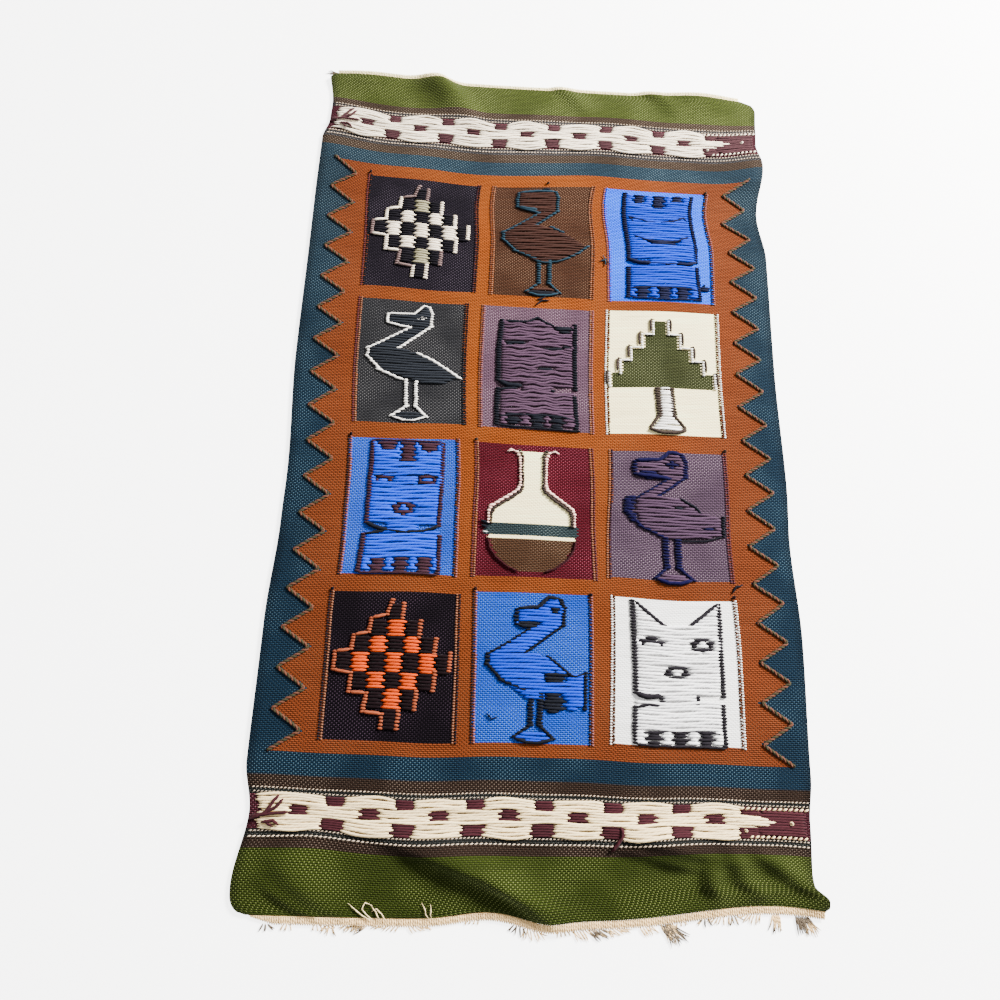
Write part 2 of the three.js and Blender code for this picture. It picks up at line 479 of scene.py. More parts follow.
def group(name, inputs, outputs):
    """A shader group with its named sockets: its tree, its given values and its output node."""
    made = bpy.data.node_groups.new(name, "ShaderNodeTree")
    for in_out, labels in (("INPUT", inputs), ("OUTPUT", outputs)):
        for label in labels:
            kind = SOCKETS.get(label, "NodeSocketFloat")
            socket = made.interface.new_socket(label, in_out=in_out, socket_type=kind)
            if in_out == "INPUT":
                socket.default_value = inputs[label]
    sockets = made.nodes.new("NodeGroupInput").outputs
    given = {label: Value(made, sockets[label]) for label in inputs}
    return made, given, made.nodes.new("NodeGroupOutput")


def use(tree, made, inputs):
    """What a group puts out in a tree, for its own values there."""
    sockets = add(tree, "ShaderNodeGroup", inputs, node_tree=made).outputs
    return {socket.name: Value(tree, socket) for socket in sockets}


def plain_weave():
    """Weft beads over a brick lattice of warps: each bead's middle, its height and the warp dots."""
    outputs = ("Bead U", "Bead V", "Height", "Warp dot")
    made, given, result = group("plain weave", {"U": 0.0, "V": 0.0}, outputs)
    rows = given["V"] / ROW_STEP
    row = calc(made, "FLOOR", rows)
    half = calc(made, "FLOORED_MODULO", row, 2.0) * 0.5
    steps = given["U"] / WARP_STEP + half
    bead = calc(made, "FLOOR", steps)
    across = (steps - bead) * 2.0 - 1.0
    along = (rows - row) * 2.0 - 1.0
    spread = ((1.0 - abs(across)) * 3.0) ** 2.0 + (along * 1.2) ** 2.0
    found = {
        "Bead U": (bead + 0.5 - half) * WARP_STEP,
        "Bead V": (row + 0.5) * ROW_STEP,
        "Height": (1.0 - abs(across) ** 3.0) * (1.0 - abs(along) ** 2.0),
        "Warp dot": calc(made, "SUBTRACT", 1.05, spread, clamp=True),
    }
    wire(made, result, found)
    return made


def woven_square():
    """A mask of one four-sided square whose sides may lean."""
    inputs = dict.fromkeys(("U", "V", *SQUARE_SIDES), 0.0)
    made, given, result = group("woven square", inputs, ("Mask",))
    share = (given["V"] - given["Near"]) / (given["Far"] - given["Near"])
    left = mix(share, given["Near left"], given["Far left"])
    right = mix(share, given["Near right"], given["Far right"])
    inside = between(given["U"], left, right) * between(given["V"], given["Near"], given["Far"])
    wire(made, result, {"Mask": inside})
    return made


def uneven_dye():
    """Uneven dye: streaks along the weft and a slow drift over the cloth."""
    inputs = {"Colour": (1, 1, 1, 1), "Place": (0, 0, 0)}
    made, given, result = group("uneven dye", inputs, ("Colour",))
    stretched = read(made, "ShaderNodeMapping", {"Vector": given["Place"], "Scale": (14, 420, 1)})
    streaks = (noise(stretched, scale=1.0, detail=1.0) - 0.5) * 0.3
    drift = (noise(given["Place"], scale=9.0, detail=2.0) - 0.5) * 0.2
    wire(made, result, {"Colour": shaded(given["Colour"], (streaks + drift) * 2.0 + 1.0)})
    return made


def ply_twist():
    """Slanting plies along a yarn, as a height for its painted shade and its bump."""
    inputs = {"Along": 0.0, "Around": 0.0, "Pitch": 0.006}
    made, given, result = group("ply twist", inputs, ("Height",))
    phase = given["Around"] * PLIES + given["Along"] / given["Pitch"]
    wave = calc(made, "PINGPONG", phase, 0.5)
    wire(made, result, {"Height": (wave * 2.0) ** 0.6})
    return made


WEAVE = plain_weave()
SQUARE = woven_square()
DYE = uneven_dye()
PLY = ply_twist()


def wool_finish(material, colour, height, depth, roughness, sheen):
    """The soft woollen surface on a material's own shader."""
    tree = material.node_tree
    surface = {
        "Roughness": roughness,
        "Specular IOR Level": 0.04,
        "Sheen Weight": sheen,
        "Sheen Roughness": 0.6,
        "Base Color": colour,
        "Normal": read(tree, "ShaderNodeBump", {"Strength": 1.0, "Distance": depth, "Height": height}),
    }
    wire(tree, tree.nodes["Principled BSDF"], surface)


def half_width(v, begin, reach, largest, joined, rows):
    """Half the width of a woven figure, read along its height."""
    ramp = add(v.tree, "ShaderNodeValToRGB", {0: (v - begin) / reach})
    ramp.color_ramp.interpolation = joined
    stops = ramp.color_ramp.elements
    while len(stops) < len(rows):
        stops.new(0.5)
    for stop, (at, width) in zip(stops, rows):
        level = width / largest
        stop.position = (at - begin) / reach
        stop.color = (level, level, level, 1)
    return Value(v.tree, ramp.outputs[0]) * largest


def woven_ground(tree, v, bead_u, bead_v):
    """The ground's dyes: stripes, field, squares and figures, and a mask of the bare field."""
    ground = dye(STRIPES[0][1])
    for start, yarn in STRIPES[1:]:
        ground = blend(tree, bead_v > float(start), ground, dye(yarn))
    # The teal grows lighter towards the far end: painted light of the brighter far end
    teal = blend(tree, ranged(v, 0.0, 400.0), dye("teal near"), dye("teal far painted light", 0.8))
    ground = blend(tree, between(v, TEAL_NEAR, FIELD_FAR), ground, teal)

    # The orange field between its two rows of teeth, more golden towards the far middle
    tooth = calc(tree, "PINGPONG", bead_v - TOOTH_START, TOOTH_STEP / 2) / (TOOTH_STEP / 2)
    left, right = (ranged(tooth, 0.0, 1.0, *ends) for ends in zip(TOOTH_TIPS, TOOTH_VALLEYS))
    field = between(bead_u, left, right) * between(bead_v, FIELD_NEAR, FIELD_FAR)
    golden = ranged(abs(bead_u + 20.0), 60.0, 230.0, first=0.9, last=0.1)
    golden = golden * ranged(bead_v, -330.0, 60.0, first=0.15, last=1.0)
    ground = blend(tree, field, ground, blend(tree, golden, dye("orange"), dye("gold")))

    # The squares, and the figures woven into them
    bare = field
    for _, far, near, yarn in SQUARES:
        sides = dict(zip(SQUARE_SIDES, map(float, far + near)))
        mask = use(tree, SQUARE, {"U": bead_u, "V": bead_v, **sides})["Mask"]
        ground = blend(tree, mask, ground, dye(yarn))
        bare = bare * (1.0 - mask)
    for yarn, middle, low, high, half in FIGURES:
        if isinstance(half, tuple):
            half = half_width(bead_v, *half)
        mask = (abs(bead_u - middle) < half) * between(bead_v, low, high)
        ground = blend(tree, mask, ground, dye(yarn))
    return ground, bare


def tapestry_wool():
    """The whole woven face: the ground's dyes, the warp dots between the beads, and painted shade between the
    beads and along the selvedges.
    """
    material, tree = new_material("tapestry wool")
    uv, across, along = uv_parts(tree, "weave")
    u = across * MM_IN_A_METRE
    v = along * MM_IN_A_METRE
    weave = use(tree, WEAVE, {"U": u, "V": v})
    height = weave["Height"]
    ground, bare = woven_ground(tree, v, weave["Bead U"], weave["Bead V"])
    dyed = use(tree, DYE, {"Colour": ground, "Place": uv})["Colour"]
    # Warp dots show in patches, less on the bare field, in a paler tone of the yarn round them
    patches = ranged(noise(uv, scale=16.0, detail=1.0), 0.38, 0.6, first=0.25, last=1.0)
    shown = weave["Warp dot"] * patches * (1.0 - bare * 0.75)
    root = read(tree, "ShaderNodeGamma", {"Color": dyed, "Gamma": 0.46})
    pale = blend(tree, 1.0, root, (0.86, 0.84, 0.78, 1), "MULTIPLY")
    # Painted shade between the beads, strong in dark yarn and hardly showing in white yarn
    light = ranged(read(tree, "ShaderNodeRGBToBW", {0: dyed}), 0.3, 0.75)
    deep = height * 0.85 + 0.25
    shallow = height * 0.12 + 0.9
    hollow_painted_shade = mix(light, deep, shallow)
    dotted = blend(tree, shown, shaded(dyed, hollow_painted_shade), pale)
    # Painted shade along the selvedges, darker towards the rolled edge
    edge = ranged(abs(u), 294.0, 304.0, first=1.0, last=0.6)
    relief = height * (1.0 - light * 0.6)
    wool_finish(material, shaded(dotted, edge), relief, depth=0.0008, roughness=0.85, sheen=0.01)
    return material


def yarn_material(name, yarn, pitch=0.007, second=None):
    """Soft spun yarn with its plies, uneven dye and, where given, a second colour in patches."""
    material, tree = new_material(name)
    _, along, around = uv_parts(tree, "yarn")
    tone = read(tree, "ShaderNodeAttribute", output="Fac", attribute_name="tone")
    spot = read(tree, "ShaderNodeTexCoord", output="Object")
    colour = read(tree, "ShaderNodeRGB")
    colour.socket.default_value = dye(yarn)
    if second:
        share = ranged(noise(spot, scale=55.0, detail=1.0), 0.5, 0.62)
        colour = blend(tree, share, colour, dye(second))
    # Painted shade between the plies and towards the strand's sides, with a tone of its own for each strand
    twist = use(tree, PLY, {"Along": along, "Around": around, "Pitch": pitch})["Height"]
    fibres = noise(spot, scale=900.0, detail=2.0)
    value = twist * 0.22 + 0.78 + (tone - 0.5) * 0.28 + (fibres - 0.5) * 0.2
    side = calc(tree, "MINIMUM", abs(around - 0.25) * 4.0, 1.3) ** 2.0 * 0.28
    colour = shaded(colour, value * (1.0 - side))
    wool_finish(material, colour, twist + fibres * 0.4, depth=0.0004, roughness=0.8, sheen=0.02)
    return material


MATERIALS = {}


def material_for(yarn):
    """The material of a yarn, made once."""
    if yarn not in MATERIALS:
        MATERIALS[yarn] = yarn_material("yarn " + yarn, yarn)
    return MATERIALS[yarn]


# The woven cloth


def make_cloth(material):
    """A grid laid over the folds, finer at the near end's creases, extruded to the cloth's thickness."""
    deselect()
    bpy.ops.mesh.primitive_grid_add(x_subdivisions=GRID[0], y_subdivisions=GRID[1], size=1.0)
    cloth = bpy.context.object
    cloth.name = "tapestry_cloth"
    mesh = cloth.data
    flat = np.empty(len(mesh.vertices) * 3)
    mesh.vertices.foreach_get("co", flat)
    flat = flat.reshape(-1, 3)
    across = flat[:, 0] * WIDTH
    along = np.interp(flat[:, 1] + 0.5, (0.0, FINE_SHARE, 1.0), (NEAR, NEAR + FINE_LENGTH, FAR))
    placed = np.array([place(u, v, -THICK) for u, v in zip(across, along)])
    placed[:, 2] = np.maximum(placed[:, 2], 0.0)
    mesh.vertices.foreach_set("co", placed.ravel())
    corners = np.empty(len(mesh.loops), dtype=np.int32)
    mesh.loops.foreach_get("vertex_index", corners)
    weave = mesh.uv_layers.new(name="weave")
    waved = np.array([v + waves(ROW_WAVES, u, v) for u, v in zip(across, along)])
    weave.data.foreach_set("uv", np.column_stack((across, waved))[corners].ravel() * MM)
    for other in [layer for layer in mesh.uv_layers if layer.name != "weave"]:
        mesh.uv_layers.remove(other)
    bpy.ops.object.mode_set(mode="EDIT")
    bpy.ops.mesh.select_all(action="SELECT")
    bpy.ops.mesh.extrude_region_move(TRANSFORM_OT_translate={"value": (0, 0, THICK * MM)})
    bpy.ops.mesh.select_all(action="SELECT")
    bpy.ops.mesh.normals_make_consistent(inside=False)
    bpy.ops.object.mode_set(mode="OBJECT")
    bpy.ops.object.shade_smooth_by_angle(angle=math.radians(50))
    mesh.materials.append(material)
    return cloth


# Yarns

# A strand's width at its two tips, as a share of its own
TIP_SHARE = 0.35


class Skein:
    """Strands of one yarn, gathered into one piece."""

    def __init__(self, sides=6):
        self.sides = sides
        self.points = []
        self.faces = []
        self.uvs = []
        self.tones = []

    def strand(self, path, half_width, half_height, tone=None):
        """A soft tube along points in metres, drawn in at both ends."""
        if tone is None:
            tone = random.random()
        path = np.asarray(path, dtype=float)
        count = len(path)
        widths = np.broadcast_to(np.asarray(half_width, dtype=float), (count,)) * MM
        heights = np.broadcast_to(np.asarray(half_height, dtype=float), (count,)) * MM
        for end in (0, -1):
            widths[end] *= TIP_SHARE
            heights[end] *= TIP_SHARE
        direction = np.gradient(path, axis=0)
        direction /= np.maximum(np.linalg.norm(direction, axis=1, keepdims=True), 1e-9)
        side = np.column_stack((-direction[:, 1], direction[:, 0], np.zeros(count)))
        lengths = np.linalg.norm(side, axis=1, keepdims=True)
        side = np.where(lengths > 1e-6, side / np.maximum(lengths, 1e-9), (1.0, 0.0, 0.0))
        up = np.cross(direction, side)
        angles = 2 * np.pi * (np.arange(self.sides) / self.sides)
        ring = (
            path[:, None, :]
            + side[:, None, :] * (np.cos(angles)[None, :, None] * widths[:, None, None])
            + up[:, None, :] * (np.sin(angles)[None, :, None] * heights[:, None, None])
        )
        first = len(self.points)
        self.points.extend(map(tuple, ring.reshape(-1, 3)))
        run = np.concatenate(((0.0,), np.cumsum(np.linalg.norm(np.diff(path, axis=0), axis=1))))
        run = run + random.random()
        for row in range(count - 1):
            low = first + row * self.sides
            high = low + self.sides
            for column in range(self.sides):
                following = (column + 1) % self.sides
                self.faces.append((low + column, low + following, high + following, high + column))
                left = column / self.sides
                right = (column + 1) / self.sides
                self.uvs += [(run[row], left), (run[row], right), (run[row + 1], right), (run[row + 1], left)]
        last = first + (count - 1) * self.sides
        columns = list(range(self.sides))
        for start, at, order in ((first, run[0], columns[::-1]), (last, run[-1], columns)):
            self.faces.append(tuple(start + column for column in order))
            self.uvs += [(at, column / self.sides) for column in order]
        self.tones += [tone] * (count * self.sides)

    def finish(self, name, material, slot="float_yarn"):
        """The strands as one smooth piece that rides on the cloth's body."""
        mesh = bpy.data.meshes.new(name)
        mesh.from_pydata(self.points, [], self.faces)
        yarn = mesh.uv_layers.new(name="yarn")
        yarn.data.foreach_set("uv", np.asarray(self.uvs, dtype=float).ravel())
        tone = mesh.attributes.new("tone", "FLOAT", "POINT")
        tone.data.foreach_set("value", np.asarray(self.tones, dtype=float))
        mesh.polygons.foreach_set("use_smooth", [True] * len(mesh.polygons))
        mesh.materials.append(material)
        piece = bpy.data.objects.new(name, mesh)
        bpy.context.scene.collection.objects.link(piece)
        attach(piece, "root")
        return piece


def finish_all(skeins, name):
    """Every yarn's strands as a piece of its own."""
    for yarn, skein in skeins.items():
        skein.finish(f"{name}_{yarn.replace(' ', '_')}", material_for(yarn))


def waver(row, at, size):
    """Sway of a float: part shared with its neighbours, part its own, and a crimp on loose floats."""
    shared = math.sin(at * 0.052 + row * 0.21) + 0.5 * math.sin(at * 0.021 - row * 0.13 + 1.7)
    own = math.sin(at * 0.105 + row * 2.4) + 0.7 * math.sin(at * 0.047 + row * 4.1)
    crimp = math.sin(at * 0.175 + row * 0.4) + 0.7 * math.sin(at * 0.29 - row * 0.31 + 1.0)
    calm = min(size, 1.0)
    return calm * (0.6 * shared + 0.75 * own) + 0.75 * (size - calm) * crimp


# A float's shortest length, the length of its pieces, and the length from which it lies fully loose
SHORTEST_FLOAT = 2.0
FLOAT_PIECE = 5
LOOSE_LENGTH = 40


def float_run(skein, row, start, end, v, half=1.95, sway=0.8, high=1.0, bend=None):
    """One float from start to end across the cloth: flat at its ends, loose between them."""
    length = end - start
    if length < SHORTEST_FLOAT:
        return
    count = max(5, int(length / FLOAT_PIECE) + 2)
    loose = min(1.0, length / LOOSE_LENGTH)
    path = []
    widths = []
    for share in np.linspace(0, 1, count):
        arch = math.sin(math.pi * share)
        u = start + length * share
        middle = bend(u, v) if bend else v
        shift = waver(row, u, sway * loose) * min(1.0, arch * 1.6)
        rise = 0.45 + high * (0.5 + 0.7 * loose) * arch**0.5 + random.uniform(-0.12, 0.12)
        path.append(lay(u, middle + shift, rise))
        widths.append(half * (0.76 + 0.24 * arch**0.5) * random.uniform(0.94, 1.06))
    skein.strand(path, widths, [width * 0.72 for width in widths])


def bead(skein, u, v, width, height=1.5, rise=1.3, slant=0.0):
    """One short wrap of yarn across a line."""
    half = width / 2
    parts = ((-1, 0.9), (-0.5, 0), (0.5, 0), (1, 0.9))
    path = [lay(u + half * part, v + slant * part, rise - sunk) for part, sunk in parts]
    skein.strand(path, height, height * 0.9)


def divided(points, steps_for):
    """A line of points along each leg, as many as steps_for gives for the leg's length."""
    path = []
    for (u0, v0), (u1, v1) in zip(points, points[1:]):
        steps = steps_for(math.hypot(u1 - u0, v1 - v0))
        for step in range(steps):
            share = step / steps
            path.append((u0 + (u1 - u0) * share, v0 + (v1 - v0) * share))
    return path + [points[-1]]


THREAD_STEP = 4.0


def thread(skein, points, half=1.2, rise=1.7, wobble=0.25):
    """A laid thread along charted points."""
    path = []
    for u, v in divided(points, lambda length: max(1, int(length / THREAD_STEP))):
        u += random.uniform(-wobble, wobble)
        path.append(lay(u, v + random.uniform(-wobble, wobble), rise))
    skein.strand(path, half, half * 0.85)


# Spacing of the wraps of a line, and the least slope at which a line is wrapped and not laid
WRAP_STEP = 3.5
LEAST_SLOPE = 0.35


def outline(skein, points, width):
    """A wrapped line: beads row by row where it climbs, a laid thread where it runs across."""
    for (u0, v0), (u1, v1) in zip(points, points[1:]):
        climb = abs(v1 - v0)
        if climb < LEAST_SLOPE * abs(u1 - u0):
            thread(skein, ((u0, v0), (u1, v1)), half=min(2.6, width * 0.33))
            continue
        count = max(1, round(climb / WRAP_STEP))
        cover = max(width, abs(u1 - u0) / count + 2.8)
        slope = (v1 - v0) / (u1 - u0) if abs(u1 - u0) > 0.6 * climb else 0.0
        for index in range(count + 1):
            share = index / count
            u = u0 + (u1 - u0) * share + random.uniform(-0.4, 0.4)
            wide = cover * random.uniform(0.9, 1.1)
            lean = slope * wide * 0.25 + random.uniform(-0.3, 0.3)
            bead(skein, u, v0 + (v1 - v0) * share, wide, slant=lean)


def twined_line(skein, v, start, end, half, step, tall, rise=0.35):
    """A line of small slanting stitches across the cloth."""
    u = start
    while u < end:
        length = step * 0.78
        lean = tall * random.uniform(0.8, 1.2)
        parts = ((0, -1, -0.4), (0.35, -0.3, 0.3), (0.7, 0.4, 0.3), (1, 1, -0.4))
        path = [lay(u + length * along, v + lean * side, rise + lift) for along, side, lift in parts]
        skein.strand(path, half, half)
        u += step


def knot(skein, u, v, size):
    """A small knot: one round turn of yarn with a second turn over it."""
    for turn, wide in ((0.3, 1.0), (1.8, 0.8)):
        path = []
        for step in range(9):
            angle = turn + 2 * math.pi * step / 8
            rise = 2.0 + 1.3 * math.cos(angle)
            path.append(lay(u + size * 0.45 * wide * math.cos(angle), v + size * 0.4 * math.sin(angle), rise))
        skein.strand(path, size * 0.3, size * 0.28)


# Charts


def crossings(points, v):
    """Where a closed chart outline crosses a row."""
    found = []
    for (u0, v0), (u1, v1) in zip(points, points[1:] + points[:1]):
        if (v0 > v) != (v1 > v):
            found.append(u0 + (u1 - u0) * (v - v0) / (v1 - v0))
    return sorted(found)


def runs_of(shapes, v):
    """The runs of each yarn on one row, later shapes over earlier ones."""
    cells = {}
    for yarn, points in shapes:
        edges = crossings(points, v)
        for start, end in zip(edges[::2], edges[1::2]):
            for cell in range(math.ceil(start), math.floor(end) + 1):
                cells[cell] = yarn
    runs = []
    for cell, yarn in sorted(cells.items()):
        if runs and runs[-1][0] == yarn and runs[-1][2] == cell - 1:
            runs[-1][2] = cell
        else:
            runs.append([yarn, cell, cell])
    return runs


def jagged(runs, row, face):
    """Moves the borders between yarns a little, so that figures get toothed sides."""
    moved = [[yarn, start - 1.2, end + 1.2] for yarn, start, end in runs]
    for before, after in zip(moved, moved[1:]):
        if after[1] - before[2] < 0:
            grow = random.uniform(0.8, 2.4) if row % 2 else random.uniform(-2.0, -0.4)
            border = (before[2] + after[1]) / 2 + (grow if after[0] == face else -grow)
            before[2] = border + 0.5
            after[1] = border - 0.5
    return moved


OVAL_CORNERS = 12


def oval(u, v, half_u, half_v):
    """A round chart shape."""
    turns = [2 * math.pi * step / OVAL_CORNERS + 0.1 for step in range(OVAL_CORNERS)]
    return [(u + half_u * math.cos(turn), v + half_v * math.sin(turn)) for turn in turns]


def block(left, right, low, high):
    """A four-sided chart shape."""
    return [(left, low), (right, low), (right, high), (left, high)]


def mirrored(points, side, middle):
    """Chart points on one side of a middle line: side -1 is left, 1 is right."""
    return [(side * u + middle, v) for u, v in points]


class Motif:
    """The chart of one square, in mm from its middle: filled shapes, wrapped lines and laid threads."""

    def __init__(self, square):
        self.square = square
        self.shapes = []
        self.lines = []
        self.threads = []

    def fill(self, yarn, *shapes):
        """Floats of a yarn in closed shapes, over what is there."""
        self.shapes += [(yarn, points) for points in shapes]

    def wrap(self, yarn, width, *lines):
        """Wrapped lines of a yarn, as wide as width."""
        self.lines += [(yarn, width, points) for points in lines]

    def lay(self, yarn, half, *lines):
        """Laid threads of a yarn, each half as wide as half says."""
        self.threads += [(yarn, half, points) for points in lines]

    def work(self, sway=0.8):
        """Works the chart into its square: floats row by row, then wrapped lines and laid threads."""
        middle_u, middle_v = MIDDLES[self.square]
        skeins = defaultdict(Skein)
        charted = [v for _, points in self.shapes for _, v in points]
        row = math.ceil(min(charted, default=0) / FLOAT_STEP)
        while row * FLOAT_STEP < max(charted, default=0):
            v = row * FLOAT_STEP
            for yarn, start, end in jagged(runs_of(self.shapes, v + 0.01), row, self.shapes[0][0]):
                float_run(skeins[yarn], row, middle_u + start, middle_u + end, middle_v + v, sway=sway)
            row += 1
        for yarn, width, points in self.lines:
            outline(skeins[yarn], [(middle_u + u, middle_v + v) for u, v in points], width)
        for yarn, half, points in self.threads:
            thread(skeins[yarn], [(middle_u + u, middle_v + v) for u, v in points], half=half)
        finish_all(skeins, self.square)


# Motifs


def bird(square, body, line, head, tail, legs, width):
    """A long-billed bird: head, slanting neck, broad body, two legs and a foot."""
    beak, high, low, crown, nape, top = head
    front = [(-36, -18), (-53, 0), (-53, 12), (-42, 18), (-2, 44)]
    skull = [(beak, low), (beak, high), (crown - 10, high + 2), (crown, top), (nape - 5, top)]
    back = [(nape, top - 8), (nape, 47), *tail]
    bill = [(beak, high), (beak - 1, (high + low) / 2), (beak, low)]
    neck = [(nape - 3, top), (nape + 1, top - 9), (nape, 46), tail[0]]
    breast = [(-2, 43), (-41, 18), (-52, 12), (-53, 0), (-36, -18), (-12, -28)]
    left_leg = [(legs[0], -30), (legs[0], -66), (-20, -78)]
    right_leg = [(legs[1], -32), (legs[1], -66), (22, -79)]
    brow = [(beak, high + 1), (crown - 12, high + 3), (crown, top + 2), (nape - 4, top + 1)]
    throat = [(beak, low - 1), (-14, (low + 43) / 2 - 1), (-1, 44)]
    motif = Motif(square)
    motif.fill(body, skull + back + front)
    motif.fill(body, [(-22, -80), (-8, -72), (10, -72), (22, -80), (8, -84), (-8, -84)])
    motif.wrap(line, width, bill, neck, breast)
    motif.wrap(line, width + 0.8, left_leg, right_leg)
    half = width * 0.33
    motif.lay(line, half, brow, throat)
    motif.lay(line, half * 0.9, [(-20, -80), (-6, -84), (8, -84), (22, -80)])
    return motif


def work_birds():
    """Four birds, each with its own tail, eye and patches."""
    tail = [(-7, 24), (13, 20), (36, 8), (59, -8), (44, -22), (26, -29), (4, -34), (-12, -31)]
    motif = bird("r1c2", "float brown", "teal line", (-31, 76, 54, 4, 23, 77), tail, (-5, 9), 5.4)
    motif.wrap("teal line", 4.5, [(59, -8), (46, -19), (32, -27)])
    motif.wrap("teal line", 3.6, [(14, 21), (26, 14)])
    motif.fill("night", [(-20, -79), (20, -79), (10, -86), (-10, -86)], oval(6, 81, 5, 4))
    motif.lay("teal line", 1.2, [(32, -28), (18, -33), (2, -35), (-12, -31)])
    motif.lay("teal line", 2.4, [(-30, 54), (-16, 50), (-4, 49)])
    motif.work(sway=0.7)

    tail = [(-14, 14), (12, 8), (38, -7), (62, -25), (46, -33), (20, -35), (-4, -27)]
    motif = bird("r2c1", "float charcoal", "white line", (-31, 60, 49, 14, 24, 74), tail, (-3, 9.5), 3.9)
    motif.wrap("white line", 3.4, [(12, 7), (28, -1), (46, -13), (62, -25)])
    motif.lay("white line", 0.9, [(4, 57), (11, 59), (18, 58), (11, 55), (4, 57)])
    motif.work(sway=0.4)

    tail = [(-15, 21), (10, 20), (37, 3), (62, -5), (63, -26), (44, -30), (16, -31), (-10, -31)]
    wing = [(-54, 21), (-42, 20), (-44, 12), (-46, 2), (-38, -10), (-48, -12), (-58, 0), (-59, 13)]
    motif = bird("r3c3", "float lilac", "navy", (-43, 64, 48, 0, 18, 75), tail, (-7, 8), 8.4)
    motif.fill("navy", wing, oval(2, 61, 8, 4.4), [(-42, 53), (-30, 42), (-14, 44), (-16, 51)])
    motif.fill("night", oval(10, 6, 8, 2.4))
    motif.fill("navy", oval(46, -19, 5, 2))
    motif.wrap("night", 5.0, [(64, -3), (64, -27)])
    motif.lay("night", 1.5, [(10, 20), (20, 14), (30, 9), (37, 1)])
    motif.lay("white line", 1.4, [(31, 7), (34, 4)])
    motif.lay("night", 0.9, [(10, -33), (40, -33), (62, -28)])
    motif.work()

    tail = [(-10, 14), (16, 9), (38, -8), (56, -8), (56, -46), (36, -48), (12, -40), (-10, -37)]
    saddle = [(8, -12), (22, -7), (38, -9), (36, -16), (24, -21), (12, -17)]
    rump = [(8, -38), (14, -32), (26, -30), (36, -38), (34, -47), (22, -53), (10, -48)]
    motif = bird("r4c2", "float blue", "night", (-21, 63, 46, 14, 31, 76), tail, (-3, 7.5), 7.0)
    motif.fill("night", saddle, rump, oval(-8, 46, 12, 4), oval(22, 64, 7, 3))
    motif.wrap("night", 5.6, [(57, -7), (57, -47)])
    motif.wrap("night", 4.6, [(16, 9), (39, -9)])
    motif.lay("night", 1.4, [(38, -10), (46, -11), (56, -8)])
    motif.work(sway=0.6)


# One of the blocks at a mask's foot, from its own middle
FOOT = ((-7, -84), (7, -84), (9.5, -76), (7, -68), (-7, -68), (-9.5, -76))


def face_mask(square, face, line, head, feet):
    """A tall face mask: broad head, narrow waist and three blocks at its foot."""
    motif = Motif(square)
    motif.fill(face, head, block(-20, 19, -40, -20), block(head[0][0] - 1, head[-1][0] + 1, -82, -34))
    motif.fill(line, *([(middle + u, v) for u, v in FOOT] for middle in feet))
    return motif


def ring(motif, face, line, u, v, half_u, half_v):
    """An eye or a mouth: a dark ring of floats round a lighter middle."""
    motif.fill(line, oval(u, v, half_u, half_v))
    motif.fill(face, oval(u, v, half_u * 0.45, half_v * 0.48))


